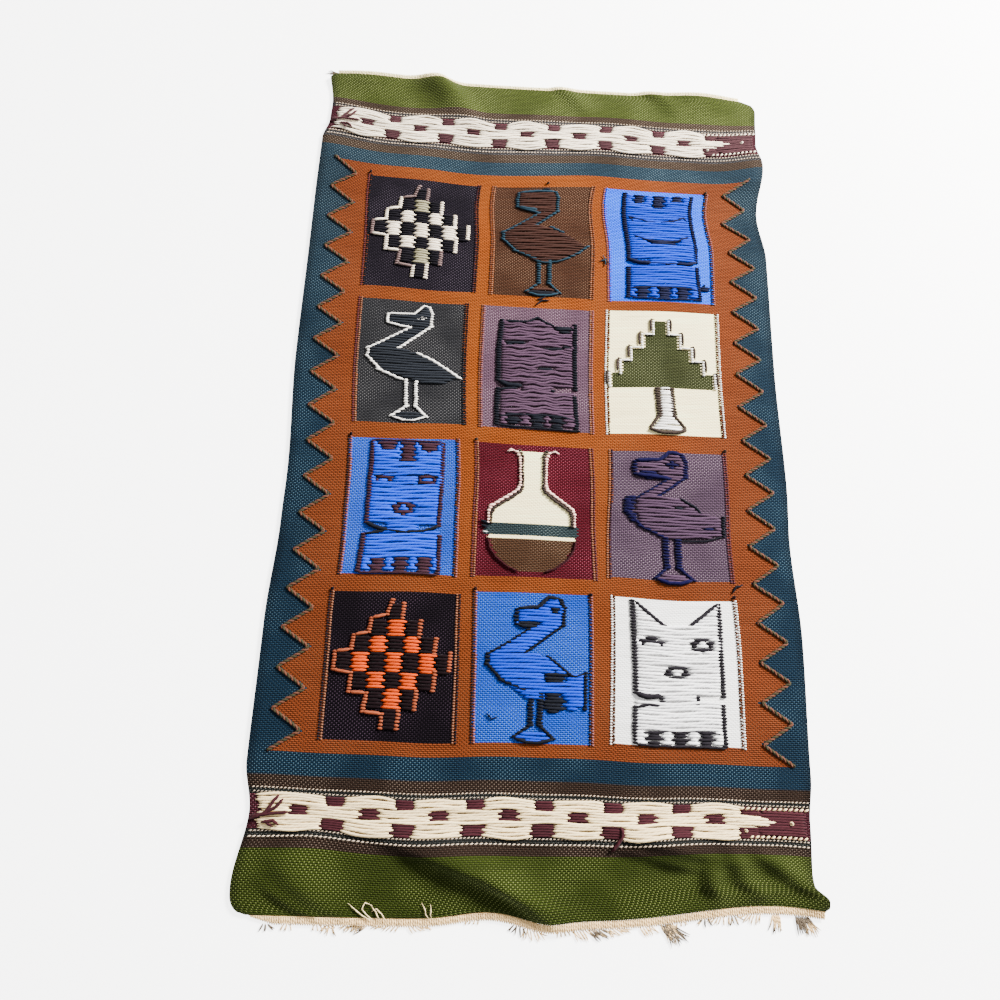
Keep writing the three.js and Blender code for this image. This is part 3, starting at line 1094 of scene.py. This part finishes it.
def work_masks():
    """Four masks, each with its own brow, eyes and mouth."""
    line = "navy dark"
    head = [(-45, -24), (-45, 77), (44, 77), (44, -26)]
    motif = face_mask("r1c3", "float blue", line, head, (-29, 0, 25))
    motif.fill(line, block(-33, -19, 64, 78), block(-6, 9, 57, 78), block(20, 34, 65, 78))
    motif.fill(line, oval(2, 2, 24, 3.4), oval(54, -66, 8, 5))
    motif.wrap(line, 7.2, [(-46, 78), (-47, -26)], [(46, 77), (43, -27)])
    motif.wrap(line, 7.2, [(-47, -37), (-48, -82)], [(44, -36), (47, -84)])
    motif.lay(line, 3.0, [(-48, -25), (-34, -29), (-17, -30)])
    motif.lay(line, 1.6, [(-18, -30), (6, -32), (20, -31)])
    motif.lay(line, 2.4, [(16, -31), (34, -31), (44, -27)])
    motif.lay(line, 1.5, [(-46, -69), (-20, -67), (6, -67), (30, -68), (46, -70)])
    motif.lay(line, 1.6, [(-34, 34), (-40, 41), (-28, 38), (-14, 34), (0, 33)])
    motif.lay(line, 1.9, [(0, 33), (20, 35), (36, 42), (40, 36)])
    motif.lay(line, 1.7, [(-38, 12), (-22, 6), (0, 2), (22, 5), (38, 12)])
    motif.lay(line, 1.2, [(-46, -83), (0, -85), (46, -84)])
    motif.work(sway=0.6)

    line = "night"
    head = [(-47, -24), (-47, 62), (-22, 60), (-2, 68), (18, 58), (45, 58), (45, -28)]
    motif = face_mask("r2c2", "float mauve", line, head, (-32, -2, 22))
    motif.fill(line, [(16, 60), (42, 61), (42, 49), (26, 50)], oval(-30, 31, 13, 5))
    motif.fill("float mauve", oval(-25, 29, 7, 2.6))
    motif.fill(line, oval(18, 26, 13, 2.6), oval(36, 30, 8, 2.4), oval(10, -4, 9, 2.2))
    motif.wrap(line, 7.4, [(-47, 63), (-50, 20), (-50, -22)], [(47, 61), (47, -30)])
    motif.wrap(line, 7.4, [(-50, -34), (-53, -82)], [(46, -40), (47, -85)])
    motif.wrap(line, 7.0, [(18, -33), (18, -41)])
    motif.lay(line, 3.2, [(-50, -23), (-38, -28), (-20, -28)])
    motif.lay(line, 1.7, [(-44, 62), (-26, 62), (-12, 63), (-2, 69), (10, 62), (20, 58)])
    motif.lay(line, 1.8, [(-50, -36), (-38, -33), (-26, -31)])
    motif.lay(line, 1.3, [(-50, -72), (-30, -68), (0, -67), (30, -68), (46, -72)])
    motif.lay(line, 1.2, [(-52, -83), (0, -85), (47, -86)])
    motif.work(sway=2.2)

    face, line = "float steel", "maroon dark"
    head = [(-42, -24), (-42, 77), (43, 77), (43, -26)]
    motif = face_mask("r3c1", face, line, head, (-25, 2, 29))
    motif.fill(line, [(-37, 78), (-11, 78), (-15, 70), (-24, 65), (-33, 70)], block(-7, 8, 53, 79))
    motif.fill(line, [(13, 78), (40, 78), (36, 69), (26, 63), (17, 69)], oval(-26, 30, 11, 5))
    motif.fill(face, oval(-27, 26, 7, 3.6))
    ring(motif, face, line, 25, 29, 12, 6.5)
    ring(motif, face, line, 0, -6, 13, 9)
    motif.wrap(line, 6.8, [(-42, 78), (-43, 30), (-42, -24)], [(43, 76), (43, -28)])
    motif.wrap(line, 6.8, [(-44, -38), (-46, -82)], [(45, -40), (46, -84)])
    motif.lay("night", 2.6, [(-43, -24), (-32, -29), (-14, -34)])
    motif.lay("night", 2.0, [(-18, -33), (4, -36), (26, -35), (44, -28)])
    motif.lay("night", 2.0, [(-44, -38), (-30, -36), (-18, -34)])
    motif.lay(line, 1.3, [(-46, -84), (-16, -84), (16, -85), (46, -86)])
    motif.lay(line, 1.2, [(-42, 80), (0, 80), (43, 78)])
    motif.lay("night", 1.2, [(-40, 33), (-20, 37), (2, 36), (26, 36), (42, 31)])
    motif.work(sway=0.9)

    face, line = "float white", "black line"
    head = [(-50, -26), (-50, 76), (-17, 52), (11, 52), (46, 76), (46, -28)]
    motif = face_mask("r4c3", face, line, head, (-30, -1, 28))
    motif.fill(line, oval(-32, 31, 14, 6.5))
    motif.fill(face, oval(-31, 27, 9, 4.6))
    ring(motif, face, line, 25, 30, 14, 8.6)
    ring(motif, face, line, -4, -2, 14, 8.4)
    motif.wrap(line, 7.6, [(-53, 78), (-52, 30), (-50, -26)], [(47, 77), (46, 20), (48, -28)])
    motif.wrap(line, 7.2, [(-51, -42), (-51, -80)], [(47, -38), (49, -82)])
    motif.wrap(line, 5.6, [(-48, 76), (-17, 52)], [(43, 76), (11, 52)])
    motif.wrap(line, 6.6, [(-22, -27), (-21, -38)])
    motif.wrap(line, 5.6, [(19, -29), (19, -38)])
    motif.lay(line, 1.9, [(-48, 75), (-17, 51)], [(43, 75), (11, 51)])
    motif.lay(line, 3.2, [(-51, -26), (-38, -30), (-22, -27)])
    motif.lay(line, 2.0, [(-51, -42), (-36, -38), (-22, -39)])
    motif.lay(line, 1.2, [(-50, -82), (0, -83), (50, -84)])
    motif.lay(line, 1.0, [(-46, -69), (-14, -67), (16, -67), (46, -69)])
    motif.work(sway=0.9)


# Middles of the diamonds' blocks, row by row: v, then each u
DIAMOND = (
    (39, (0,)),
    (20.5, (-18.5, 18.5)),
    (1.5, (-37.5, -0.5, 36.5)),
    (-18.5, (-18.5, 17.5)),
    (-38, (1,)),
)
DIAMOND_GAPS = (
    (59, (-1,)),
    (39, (-19, 17)),
    (20.5, (-38, 0, 35)),
    (1.5, (-56, -19, 18, 53)),
    (-18.5, (-36, -1, 36)),
    (-38, (-18, 18)),
    (-59, (0,)),
)

# The stepped line on the left, the points that its parts run between, and the short lines on the right
LEFT_STEPS = [(-6, 72), (-11, 55), (-28, 51), (-30, 35), (-46, 32), (-48, 16), (-65, 13)]
LEFT_STEPS += [(-66, -7), (-46, -10), (-46, -31), (-27, -32), (-30, -52), (-8, -54), (-9, -69)]
LEFT_PARTS = ((0, 3), (2, 7), (6, 8), (7, 11), (10, 13), (12, 14))
RIGHT_STEPS = [(7, 68, 51), (27, 49, 30), (45, 30, 13), (62, 15, -5)]
RIGHT_STEPS += [(46, -6, -27), (27, -28, -48), (9, -50, -69)]
STEP_WIDTH = 6.0

# Half a block's size, and the v beyond which a row of blocks is an outer one
BLOCK_HALF_U = 9
BLOCK_HALF_V = 9.4
OUTER_V = 30

# Yarns of both diamonds: blocks, outermost blocks, gaps between them, bright lines and faded lines
DIAMOND_YARNS = (
    ("r1c1", "float cream", "float moss", "float ink", "float cream", "float dove"),
    ("r4c1", "float orange", "float orange", "float plum", "float apricot", "float apricot"),
)


def fill_blocks(motif, table, yarn, outer_yarn):
    """Small blocks row by row, the outermost rows in a yarn of their own."""
    for v, middles in table:
        worked = outer_yarn if abs(v) > OUTER_V else yarn
        for u in middles:
            sides = (u - BLOCK_HALF_U, u + BLOCK_HALF_U, v - BLOCK_HALF_V, v + BLOCK_HALF_V)
            motif.fill(worked, block(*sides))


def work_diamonds():
    """Two stepped diamonds of small float blocks with broken outlines."""
    for square, yarn, outer_yarn, gap_yarn, bright, faded in DIAMOND_YARNS:
        motif = Motif(square)
        fill_blocks(motif, DIAMOND_GAPS, gap_yarn, gap_yarn)
        fill_blocks(motif, DIAMOND, yarn, outer_yarn)
        for index, (first, last) in enumerate(LEFT_PARTS):
            motif.wrap(bright if index % 2 else faded, STEP_WIDTH, LEFT_STEPS[first:last])
        for index, (u, high, low) in enumerate(RIGHT_STEPS):
            motif.wrap(faded if index in (0, 5) else bright, STEP_WIDTH, [(u, high), (u - 1, low)])
        motif.work(sway=0.35)


# Steps of the tree: half width, upper v, lower v
TREE_STEPS = ((8.5, 69, 51), (23.5, 50, 32), (38, 31, 14), (52, 13, -4), (66, -5, -22))


def work_tree():
    """Stitched lines round the stepped tree's edges, and its trunk and foot."""
    motif = Motif("r2c3")
    for half, high, low in TREE_STEPS:
        for side in (-1, 1):
            edge = -4 + side * (half + 1.4)
            outer = edge + side * 3.4
            motif.wrap("white line", 3.2, [(edge, high + 1), (edge, low)])
            turn = [(edge - side * 2, high + 3), (outer - side, high + 4), (outer, high), (outer, low + 3)]
            motif.lay("bark", 1.5, turn)
            if low > 0:
                motif.lay("white line", 1.3, [(edge, low), (outer + side * 10, low + 0.5)])
    motif.wrap("bark", 9.0, [(-11, -25), (-10, -62)], [(7, -25), (8, -62)])
    motif.wrap("bark", 7.0, [(-11, -62), (-21, -75)], [(9, -62), (19, -75)])
    motif.fill("white line", [(-8, -24), (8, -24), (8, -62), (20, -80), (-22, -80), (-8, -62)])
    motif.lay("bark", 2.4, [(-21, -76), (-23, -80), (-10, -84), (8, -84), (21, -80), (19, -76)])
    motif.lay("bark", 1.2, [(-7, -26), (7, -26)])
    motif.work(sway=0.9)


def work_vase():
    """Stitched lines along the vase's neck, shoulders and bowl."""
    inner = ((17, 74), (13, 67), (12.5, 27), (16, 20), (25, 13), (45, -1), (48, -7), (48.5, -20))
    outer = ((20, 72), (16, 64), (15.5, 29), (18.5, 23), (28, 16), (48, 2), (51.5, -5), (52, -20))
    lip = ((32, 72), (27, 74.5), (20, 72))
    bowl = ((53, -36), (50, -50), (42, -62), (28, -73), (14, -79))
    motif = Motif("r3c2")
    for side in (-1, 1):
        motif.wrap("bark", 2.4, mirrored(inner, side, -6))
        motif.wrap("pink", 2.5, mirrored(outer, side, -6))
        motif.lay("pink", 1.3, mirrored(lip, side, -6))
        motif.lay("wine dark", 1.2, mirrored(bowl, side, -5))
    motif.lay("pink", 1.8, [(-38, 72), (-31, 73)])
    motif.lay("night", 2.0, [(-67, -18), (-56, -21)])
    motif.lay("night", 1.8, [(-66, -24), (-57, -26)])
    motif.lay("white line", 1.6, [(-64, -31), (-58, -32)])
    motif.work()


# Stitched lines down both sides of every square, from its outer left line to its outer right line
SIDE_LINES = {
    "r1c1": ("maroon line", "night", "maroon dark", "night"),
    "r1c2": ("cord brown", "peach", "peach", "cord brown"),
    "r1c3": ("plum dots", "sky blue", "night", "plum dots"),
    "r2c1": ("maroon line", "peach", "night", "night"),
    "r2c2": ("cord brown", "plum dots", "peach", "plum dots"),
    "r2c3": ("white line", "umber", "umber", "white line"),
    "r3c1": ("night", "plum dots", "night", "plum dots"),
    "r3c2": ("maroon line", "peach", "peach", "maroon line"),
    "r3c3": ("peach", "maroon dark", "maroon line", "maroon line"),
    "r4c1": ("night", "peach", "peach", "night"),
    "r4c2": ("night", "plum dots", "night", "plum dots"),
    "r4c3": ("white line", "umber", "umber", "white line"),
}
SIDE_STITCH_STEP = 3.0

# Where the four lines lie: which edge of the square, and how far beside it
SIDE_PLACES = ((0, -2.8), (0, 0.4), (1, -0.4), (1, 2.8))


def work_side_lines():
    """Small stitches down the sides of the squares."""
    skeins = defaultdict(lambda: Skein(5))
    for name, far, near, _ in SQUARES:
        for (edge, beside), yarn in zip(SIDE_PLACES, SIDE_LINES[name]):
            top = far[edge] + beside
            foot = near[edge] + beside
            count = round((far[2] - near[2]) / SIDE_STITCH_STEP)
            for index in range(count + 1):
                share = index / count
                u = top + (foot - top) * share + random.uniform(-0.2, 0.2)
                v = far[2] + (near[2] - far[2]) * share
                bead(skeins[yarn], u, v, 2.5, height=1.1, rise=0.3)
    finish_all(skeins, "side_lines")


# The cords: one turn in mm, how far they lie outside the woven teeth, and points for each side of a tooth
CORD_PITCH = 9.0
CORD_OUTSIDE = 1.5
CORD_POINTS = 24


def work_cords():
    """Two-ply cords laid along both rows of saw-teeth."""
    plies = {"cord green": Skein(7), "cord brown": Skein(7)}
    for outward, tip, valley in zip((-1, 1), TOOTH_TIPS, TOOTH_VALLEYS):
        corners = []
        for index in range(TOOTH_COUNT):
            v = TOOTH_START - TOOTH_STEP * index
            corners.append((tip + outward * CORD_OUTSIDE, v))
            corners.append((valley + outward * CORD_OUTSIDE, v - TOOTH_STEP / 2))
        line = np.array(divided(corners[:-1], lambda length: CORD_POINTS))
        for _ in range(3):
            line[1:-1] = (line[:-2] + 2 * line[1:-1] + line[2:]) / 4
        lengths = np.concatenate(((0.0,), np.cumsum(np.linalg.norm(np.diff(line, axis=0), axis=1))))
        heading = np.gradient(line, axis=0)
        heading /= np.linalg.norm(heading, axis=1, keepdims=True)
        across = np.column_stack((-heading[:, 1], heading[:, 0]))
        for ply, skein in enumerate(plies.values()):
            path = []
            for point, run, out in zip(line, lengths, across):
                angle = 2 * math.pi * run / CORD_PITCH + math.pi * ply
                shift = math.cos(angle)
                rise = 0.9 + 0.6 * math.sin(angle)
                path.append(lay(point[0] + out[0] * shift, point[1] + out[1] * shift, rise))
            skein.strand(path, 1.3, 1.05, 0.5)
    finish_all(plies, "tooth_cord")


# Brocade bands: name, near edge, far edge, how far the strands bulge, size of the spots, both yarns
BANDS = (
    ("near", -461.0, -423.0, 0.06, 1.0, "float ecru", "float maroon"),
    ("far", 430.0, 470.5, 0.12, 0.86, "float cream", "float russet"),
)
SPOT_START = -215.0
SPOT_STEP = 75.2
BAND_ROWS = 14
END_ROWS = 9

# Twigs of dark thread at a band's left end: points as u and a share of the band's height
TWIGS = (
    ((-303, 0.3), (-290, 0.42), (-276, 0.62), (-268, 0.86)),
    ((-288, 0.45), (-278, 0.8), (-272, 0.95)),
    ((-303, 0.36), (-284, 0.44), (-262, 0.5)),
    ((-290, 0.2), (-278, 0.26), (-270, 0.12)),
    ((-286, 0.22), (-276, 0.08)),
)


def band_spots(low, high, size):
    """Spots of dark floats: middle u, middle v, half width, half height."""
    spots = []
    reach = high - low
    for index in range(7):
        u = SPOT_START + SPOT_STEP * index
        spots.append((u, low + reach * 0.2, 11.5 * size, 6.8))
        spots.append((u + 1, low + reach * 0.86, 9.5 * size, 5.0))
        spots.append((u - SPOT_STEP / 2, low + reach * 0.54, 10.0 * size, 5.4 * size))
    return sorted(spots)


def work_bands():
    """Both brocade bands: pale floats with dark spots between them, and their worked ends."""
    for name, low, high, bulge, size, yarn, spot_yarn in BANDS:
        pale = Skein()
        dark = Skein()
        reach = high - low
        middle = (low + high) / 2
        spots = band_spots(low, high, size)

        def bulging(u, v):
            """A row's place in the band, drawn in at the outer spots and bulging between them."""
            phase = 2 * math.pi * (u - SPOT_START) / SPOT_STEP
            return middle + (v - middle) * (1.0 - bulge * math.cos(phase))

        for row in range(BAND_ROWS):
            v = low + (row + 0.5) * reach / BAND_ROWS
            bounds = [-296.0 + random.uniform(-3, 6)]
            for u, spot_v, half, tall in spots:
                if abs(v - spot_v) < tall:
                    flare = 0.76 + 0.36 * math.sin(math.pi * abs(v - spot_v) / tall)
                    left = u - half * flare + random.uniform(-1.4, 1.4)
                    right = u + half * flare + random.uniform(-1.4, 1.4)
                    bounds += [left, right]
                    float_run(dark, row, left - 2, right + 2, v, half=1.6, sway=0.3, high=0.25, bend=bulging)
            bounds.append(268.0 - 9 * abs(row - BAND_ROWS / 2) + random.uniform(-3, 3))
            for start, end in zip(bounds[::2], bounds[1::2]):
                if end > start:
                    float_run(pale, row, start - 1, end + 1, v, half=1.7, sway=0.8, high=1.2, bend=bulging)
        for row in range(END_ROWS):
            v = low + 5 + (row + 0.5) * (reach - 10) / END_ROWS
            start = 232.0 + 4 * abs(row - 4) * random.uniform(0.8, 1.2)
            float_run(dark, row, min(start, 262), 300, v, half=1.9, sway=0.4, high=0.2)
        for twig in TWIGS:
            thread(dark, [(u, low + reach * share) for u, share in twig], half=1.7, rise=4.2)
        for share, start in ((0.93, 226.0), (0.08, 236.0)):
            twined_line(pale, low + reach * share, start, 301, half=1.15, step=6.0, tall=1.3, rise=1.6)
        knot(pale, 283, middle + 1, 3.4)
        knot(pale, 232, middle - 9, 2.8)
        pale.finish(f"brocade_floats_{name}", material_for(yarn))
        dark.finish(f"brocade_spots_{name}", material_for(spot_yarn))


# Twined lines beside the bands: v, half width, step
TWINED_LINES = (
    (-417.5, 0.55, 4.2),
    (-422.0, 0.45, 4.2),
    (-461.8, 0.55, 4.2),
    (-467.6, 0.8, 5.0),
    (424.0, 0.7, 4.2),
    (429.0, 0.7, 4.2),
    (472.0, 0.6, 4.2),
    (476.5, 0.55, 4.2),
)


def work_twined_lines():
    """The fine twined lines that edge the bands."""
    stitches = Skein(5)
    for v, half, step in TWINED_LINES:
        twined_line(stitches, v, -301, 301, half=half, step=step, tall=0.7)
    stitches.finish("twined_lines", material_for("stitch"))


# Loose ends: yarn, half width, then the points that each runs along
LOOSE_ENDS = (
    ("float maroon", 2.1, ((94, -446), (97, -456), (92, -466), (86, -473))),
    ("float ecru", 0.6, ((-176, -541), (-181, -532), (-186, -526))),
    ("float ecru", 0.6, ((-172, -541), (-174, -531), (-169, -524), (-163, -527))),
    ("float ecru", 0.6, ((-166, -541), (-162, -533), (-164, -526))),
    ("float ecru", 0.6, ((-160, -541), (-157, -535), (-160, -529), (-166, -533))),
    ("float ecru", 0.6, ((-116, -539), (-111, -531), (-112, -524))),
    ("float ecru", 0.6, ((-112, -539), (-106, -533), (-104, -527))),
    ("night", 1.1, ((-6, 181), (2, 189), (14, 190))),
    ("night", 1.1, ((-4, 190), (8, 195))),
    ("night", 1.2, ((228, -188), (233, -180), (242, -178))),
    ("teal line", 1.0, ((78, 252), (88, 256), (92, 250))),
    ("teal line", 1.0, ((84, 262), (87, 252), (86, 246))),
    ("night", 1.1, ((-52, -334), (-46, -340), (-40, -338))),
)

# Knots at the squares' corners: yarn, then each place
KNOTS = (
    ("night", ((-233, 372), (-231, -9), (-233, -199), (-71, -194), (62, -197), (229, -193))),
    ("bark", ((10, 373), (229, 369), (-78, -10), (230, -11))),
)


def work_loose_ends():
    """Small loose ends and knots."""
    skeins = defaultdict(Skein)
    for yarn, half, points in LOOSE_ENDS:
        thread(skeins[yarn], points, half=half, rise=1.6, wobble=0.5)
    for yarn, spots in KNOTS:
        for u, v in spots:
            knot(skeins[yarn], u, v, random.uniform(2.4, 3.2))
    finish_all(skeins, "loose_ends")


# Headings of bare warp, and the frayed ends

QUARTERS = (0.0, 0.25, 0.5, 0.75, 1.0)

# A rib of a heading: its middle under the cloth's face, half its width and half its height
RIB_RISE = -1.3
RIB_HALF_WIDTH = 1.45
RIB_HALF_HEIGHT = 1.05


def make_heading(name, edge, outer, left, right, material, taper=0.0):
    """Ribs of packed warp threads side by side, shorter over the first taper mm from the left."""
    skein = Skein()
    count = round((right - left) / WARP_STEP * 2)
    for index in range(count):
        u = left + (index + 0.5) * (right - left) / count
        length = (outer - edge) * (min(1.0, 0.3 + (u - left) / taper) if taper else 1.0)
        path = []
        for share in QUARTERS:
            wobble = random.uniform(-0.15, 0.15)
            rise = RIB_RISE + random.uniform(-0.05, 0.05)
            path.append(place(u + wobble, edge + length * share, rise))
        skein.strand(path, RIB_HALF_WIDTH, RIB_HALF_HEIGHT)
    return skein.finish(name, material, "cream_cotton")


# Bunches of frayed ends: u, count, step, length, turn and fan in degrees
NEAR_ENDS = (
    (-262, 3, 3.0, 8, -95, 60),
    (-226, 6, 3.4, 7, -60, 70),
    (-196, 5, 3.0, 9, -120, 50),
    (-158, 7, 3.8, 8, -150, 40),
    (-128, 6, 3.4, 9, -35, 40),
    (-70, 4, 3.8, 5, -110, 50),
    (-8, 6, 3.0, 12, -70, 60),
    (26, 5, 3.6, 6, -60, 50),
    (46, 8, 3.0, 14, -40, 40),
    (78, 6, 3.4, 13, -30, 30),
    (112, 5, 3.0, 12, -48, 22),
    (132, 6, 1.8, 23, -52, 16),
    (150, 3, 4.0, 5, -80, 40),
    (190, 5, 3.0, 9, -120, 60),
    (228, 6, 3.0, 12, -125, 50),
)
DARK_ENDS = (
    (-284, 3, 2.4, 9, -80, 60),
    (-218, 3, 2.6, 12, -110, 60),
    (-184, 4, 3.0, 16, -160, 30),
    (-22, 4, 3.0, 11, -100, 70),
    (58, 5, 3.0, 18, -38, 30),
    (134, 9, 1.5, 26, -50, 18),
    (176, 3, 2.6, 9, -100, 80),
    (206, 4, 2.6, 11, -70, 70),
    (252, 6, 1.4, 20, -84, 14),
    (280, 10, 1.5, 22, -66, 24),
)
FAR_ENDS = ((-296, 3, 3.2, 20, 172, 12),)

# Where the frayed ends start, and how their width goes towards the tip
NEAR_ENDS_FROM = -548.0
FAR_ENDS_FROM = 535.0
END_WIDTHS = (0.75, 0.7, 0.65, 0.6, 0.45)


def make_ends(name, table, v, material, girth=1.0):
    """Frayed warp ends: two fine plies for each end, spreading over the floor."""
    skein = Skein(5)
    for u, count, step, length, turn, fan in table:
        for index in range(count):
            angle = math.radians(turn + fan * (index / (count - 1) - 0.5))
            root = place(u + step * (index - (count - 1) / 2), v)
            for ply in (-1, 1):
                bend = random.uniform(-0.3, 0.3)
                reach = length * random.uniform(0.8, 1.0)
                path = []
                for part in QUARTERS:
                    lean = angle + bend * part + ply * 0.06
                    x = root[0] + math.cos(lean) * (reach * part) * MM
                    y = root[1] + math.sin(lean) * (reach * part) * MM
                    path.append((x, y, (0.75 + 0.5 * (1 - part)) * MM))
                wide = [girth * part for part in END_WIDTHS]
                skein.strand(path, wide, wide)
    return skein.finish(name, material, "cream_cotton")


# Light, floor and camera


def make_floor():
    """A wide white floor just under the cloth."""
    deselect()
    bpy.ops.mesh.primitive_plane_add(size=14.0, location=(0, 0, -0.0002))
    floor = bpy.context.object
    floor.name = "floor"
    material, tree = new_material("white floor")
    surface = {
        "Base Color": (0.9, 0.9, 0.9, 1),
        "Roughness": 0.9,
        "Emission Color": (1, 1, 1, 1),
        "Emission Strength": 4.0,
    }
    wire(tree, tree.nodes["Principled BSDF"], surface)
    floor.data.materials.append(material)


def make_light(name, place_at, size, power, colour):
    """A soft square light turned towards the cloth's middle."""
    deselect()
    bpy.ops.object.light_add(type="AREA", location=place_at)
    light = bpy.context.object
    light.name = name
    light.data.shape = "SQUARE"
    light.data.size = size
    light.data.energy = power
    light.data.color = colour
    away = light.location.normalized()
    light.rotation_euler = away.to_track_quat("Z", "Y").to_euler()


def make_world():
    """Even white light from all sides."""
    world = bpy.data.worlds.new("soft white room")
    bpy.context.scene.world = world
    world.use_nodes = True
    back = {"Color": (1, 1, 1, 1), "Strength": 0.8}
    wire(world.node_tree, world.node_tree.nodes["Background"], back)


# The photo's camera: its place in metres, and its turns in degrees
CAMERA_PLACE = (-0.080, -0.355, 0.921)
CAMERA_YAW = -6.96
CAMERA_LOOK_DOWN = 72.68
CAMERA_ROLL = 9.04


def make_camera():
    """A camera where the photo was taken from."""
    deselect()
    bpy.ops.object.camera_add(location=CAMERA_PLACE)
    camera = bpy.context.object
    yaw = Matrix.Rotation(math.radians(CAMERA_YAW), 4, "Z")
    pitch = Matrix.Rotation(math.radians(90 - CAMERA_LOOK_DOWN), 4, "X")
    roll = Matrix.Rotation(math.radians(CAMERA_ROLL), 4, "Z")
    camera.rotation_euler = (yaw @ pitch @ roll).to_euler()
    camera.data.sensor_width = 36
    camera.data.lens = 28.8
    camera.data.clip_start = 0.01
    bpy.context.scene.camera = camera


random.seed(11)
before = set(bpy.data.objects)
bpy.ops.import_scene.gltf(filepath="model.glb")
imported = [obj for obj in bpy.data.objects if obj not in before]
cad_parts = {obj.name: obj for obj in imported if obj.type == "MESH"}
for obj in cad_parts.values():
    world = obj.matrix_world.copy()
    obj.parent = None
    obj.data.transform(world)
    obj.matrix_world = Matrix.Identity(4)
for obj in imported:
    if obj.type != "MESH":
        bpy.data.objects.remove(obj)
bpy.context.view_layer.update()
make_camera()
cloth = make_cloth(tapestry_wool())
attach(cloth, "root")
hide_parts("cloth")
cotton = yarn_material("cotton warp", "cotton", pitch=0.004)
heading_near = make_heading("heading_near_ribs", -539.2, -548.8, -300, 305, cotton, taper=34.0)
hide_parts("heading_near")
# The far heading's cotton is paler and warmer: painted light of the brighter far end
cotton_far_painted_light = yarn_material("far cotton warp painted light", "cotton far painted light", pitch=0.004)
heading_far = make_heading("heading_far_ribs", 530.2, 537.6, -299, 300, cotton_far_painted_light)
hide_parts("heading_far")
frayed = yarn_material("frayed ends", "frayed", pitch=0.004, second="cotton")
make_ends("warp_ends_near", NEAR_ENDS, NEAR_ENDS_FROM, cotton)
make_ends("warp_ends_near_dark", DARK_ENDS, NEAR_ENDS_FROM, frayed, girth=1.25)
make_ends("warp_ends_far", FAR_ENDS, FAR_ENDS_FROM, frayed)
work_birds()
work_masks()
work_diamonds()
work_tree()
work_vase()
work_side_lines()
work_cords()
work_bands()
work_twined_lines()
work_loose_ends()
make_floor()
make_world()
make_light("window light", (2.1, 1.5, 1.5), 0.8, 630, (1.0, 0.98, 0.95))
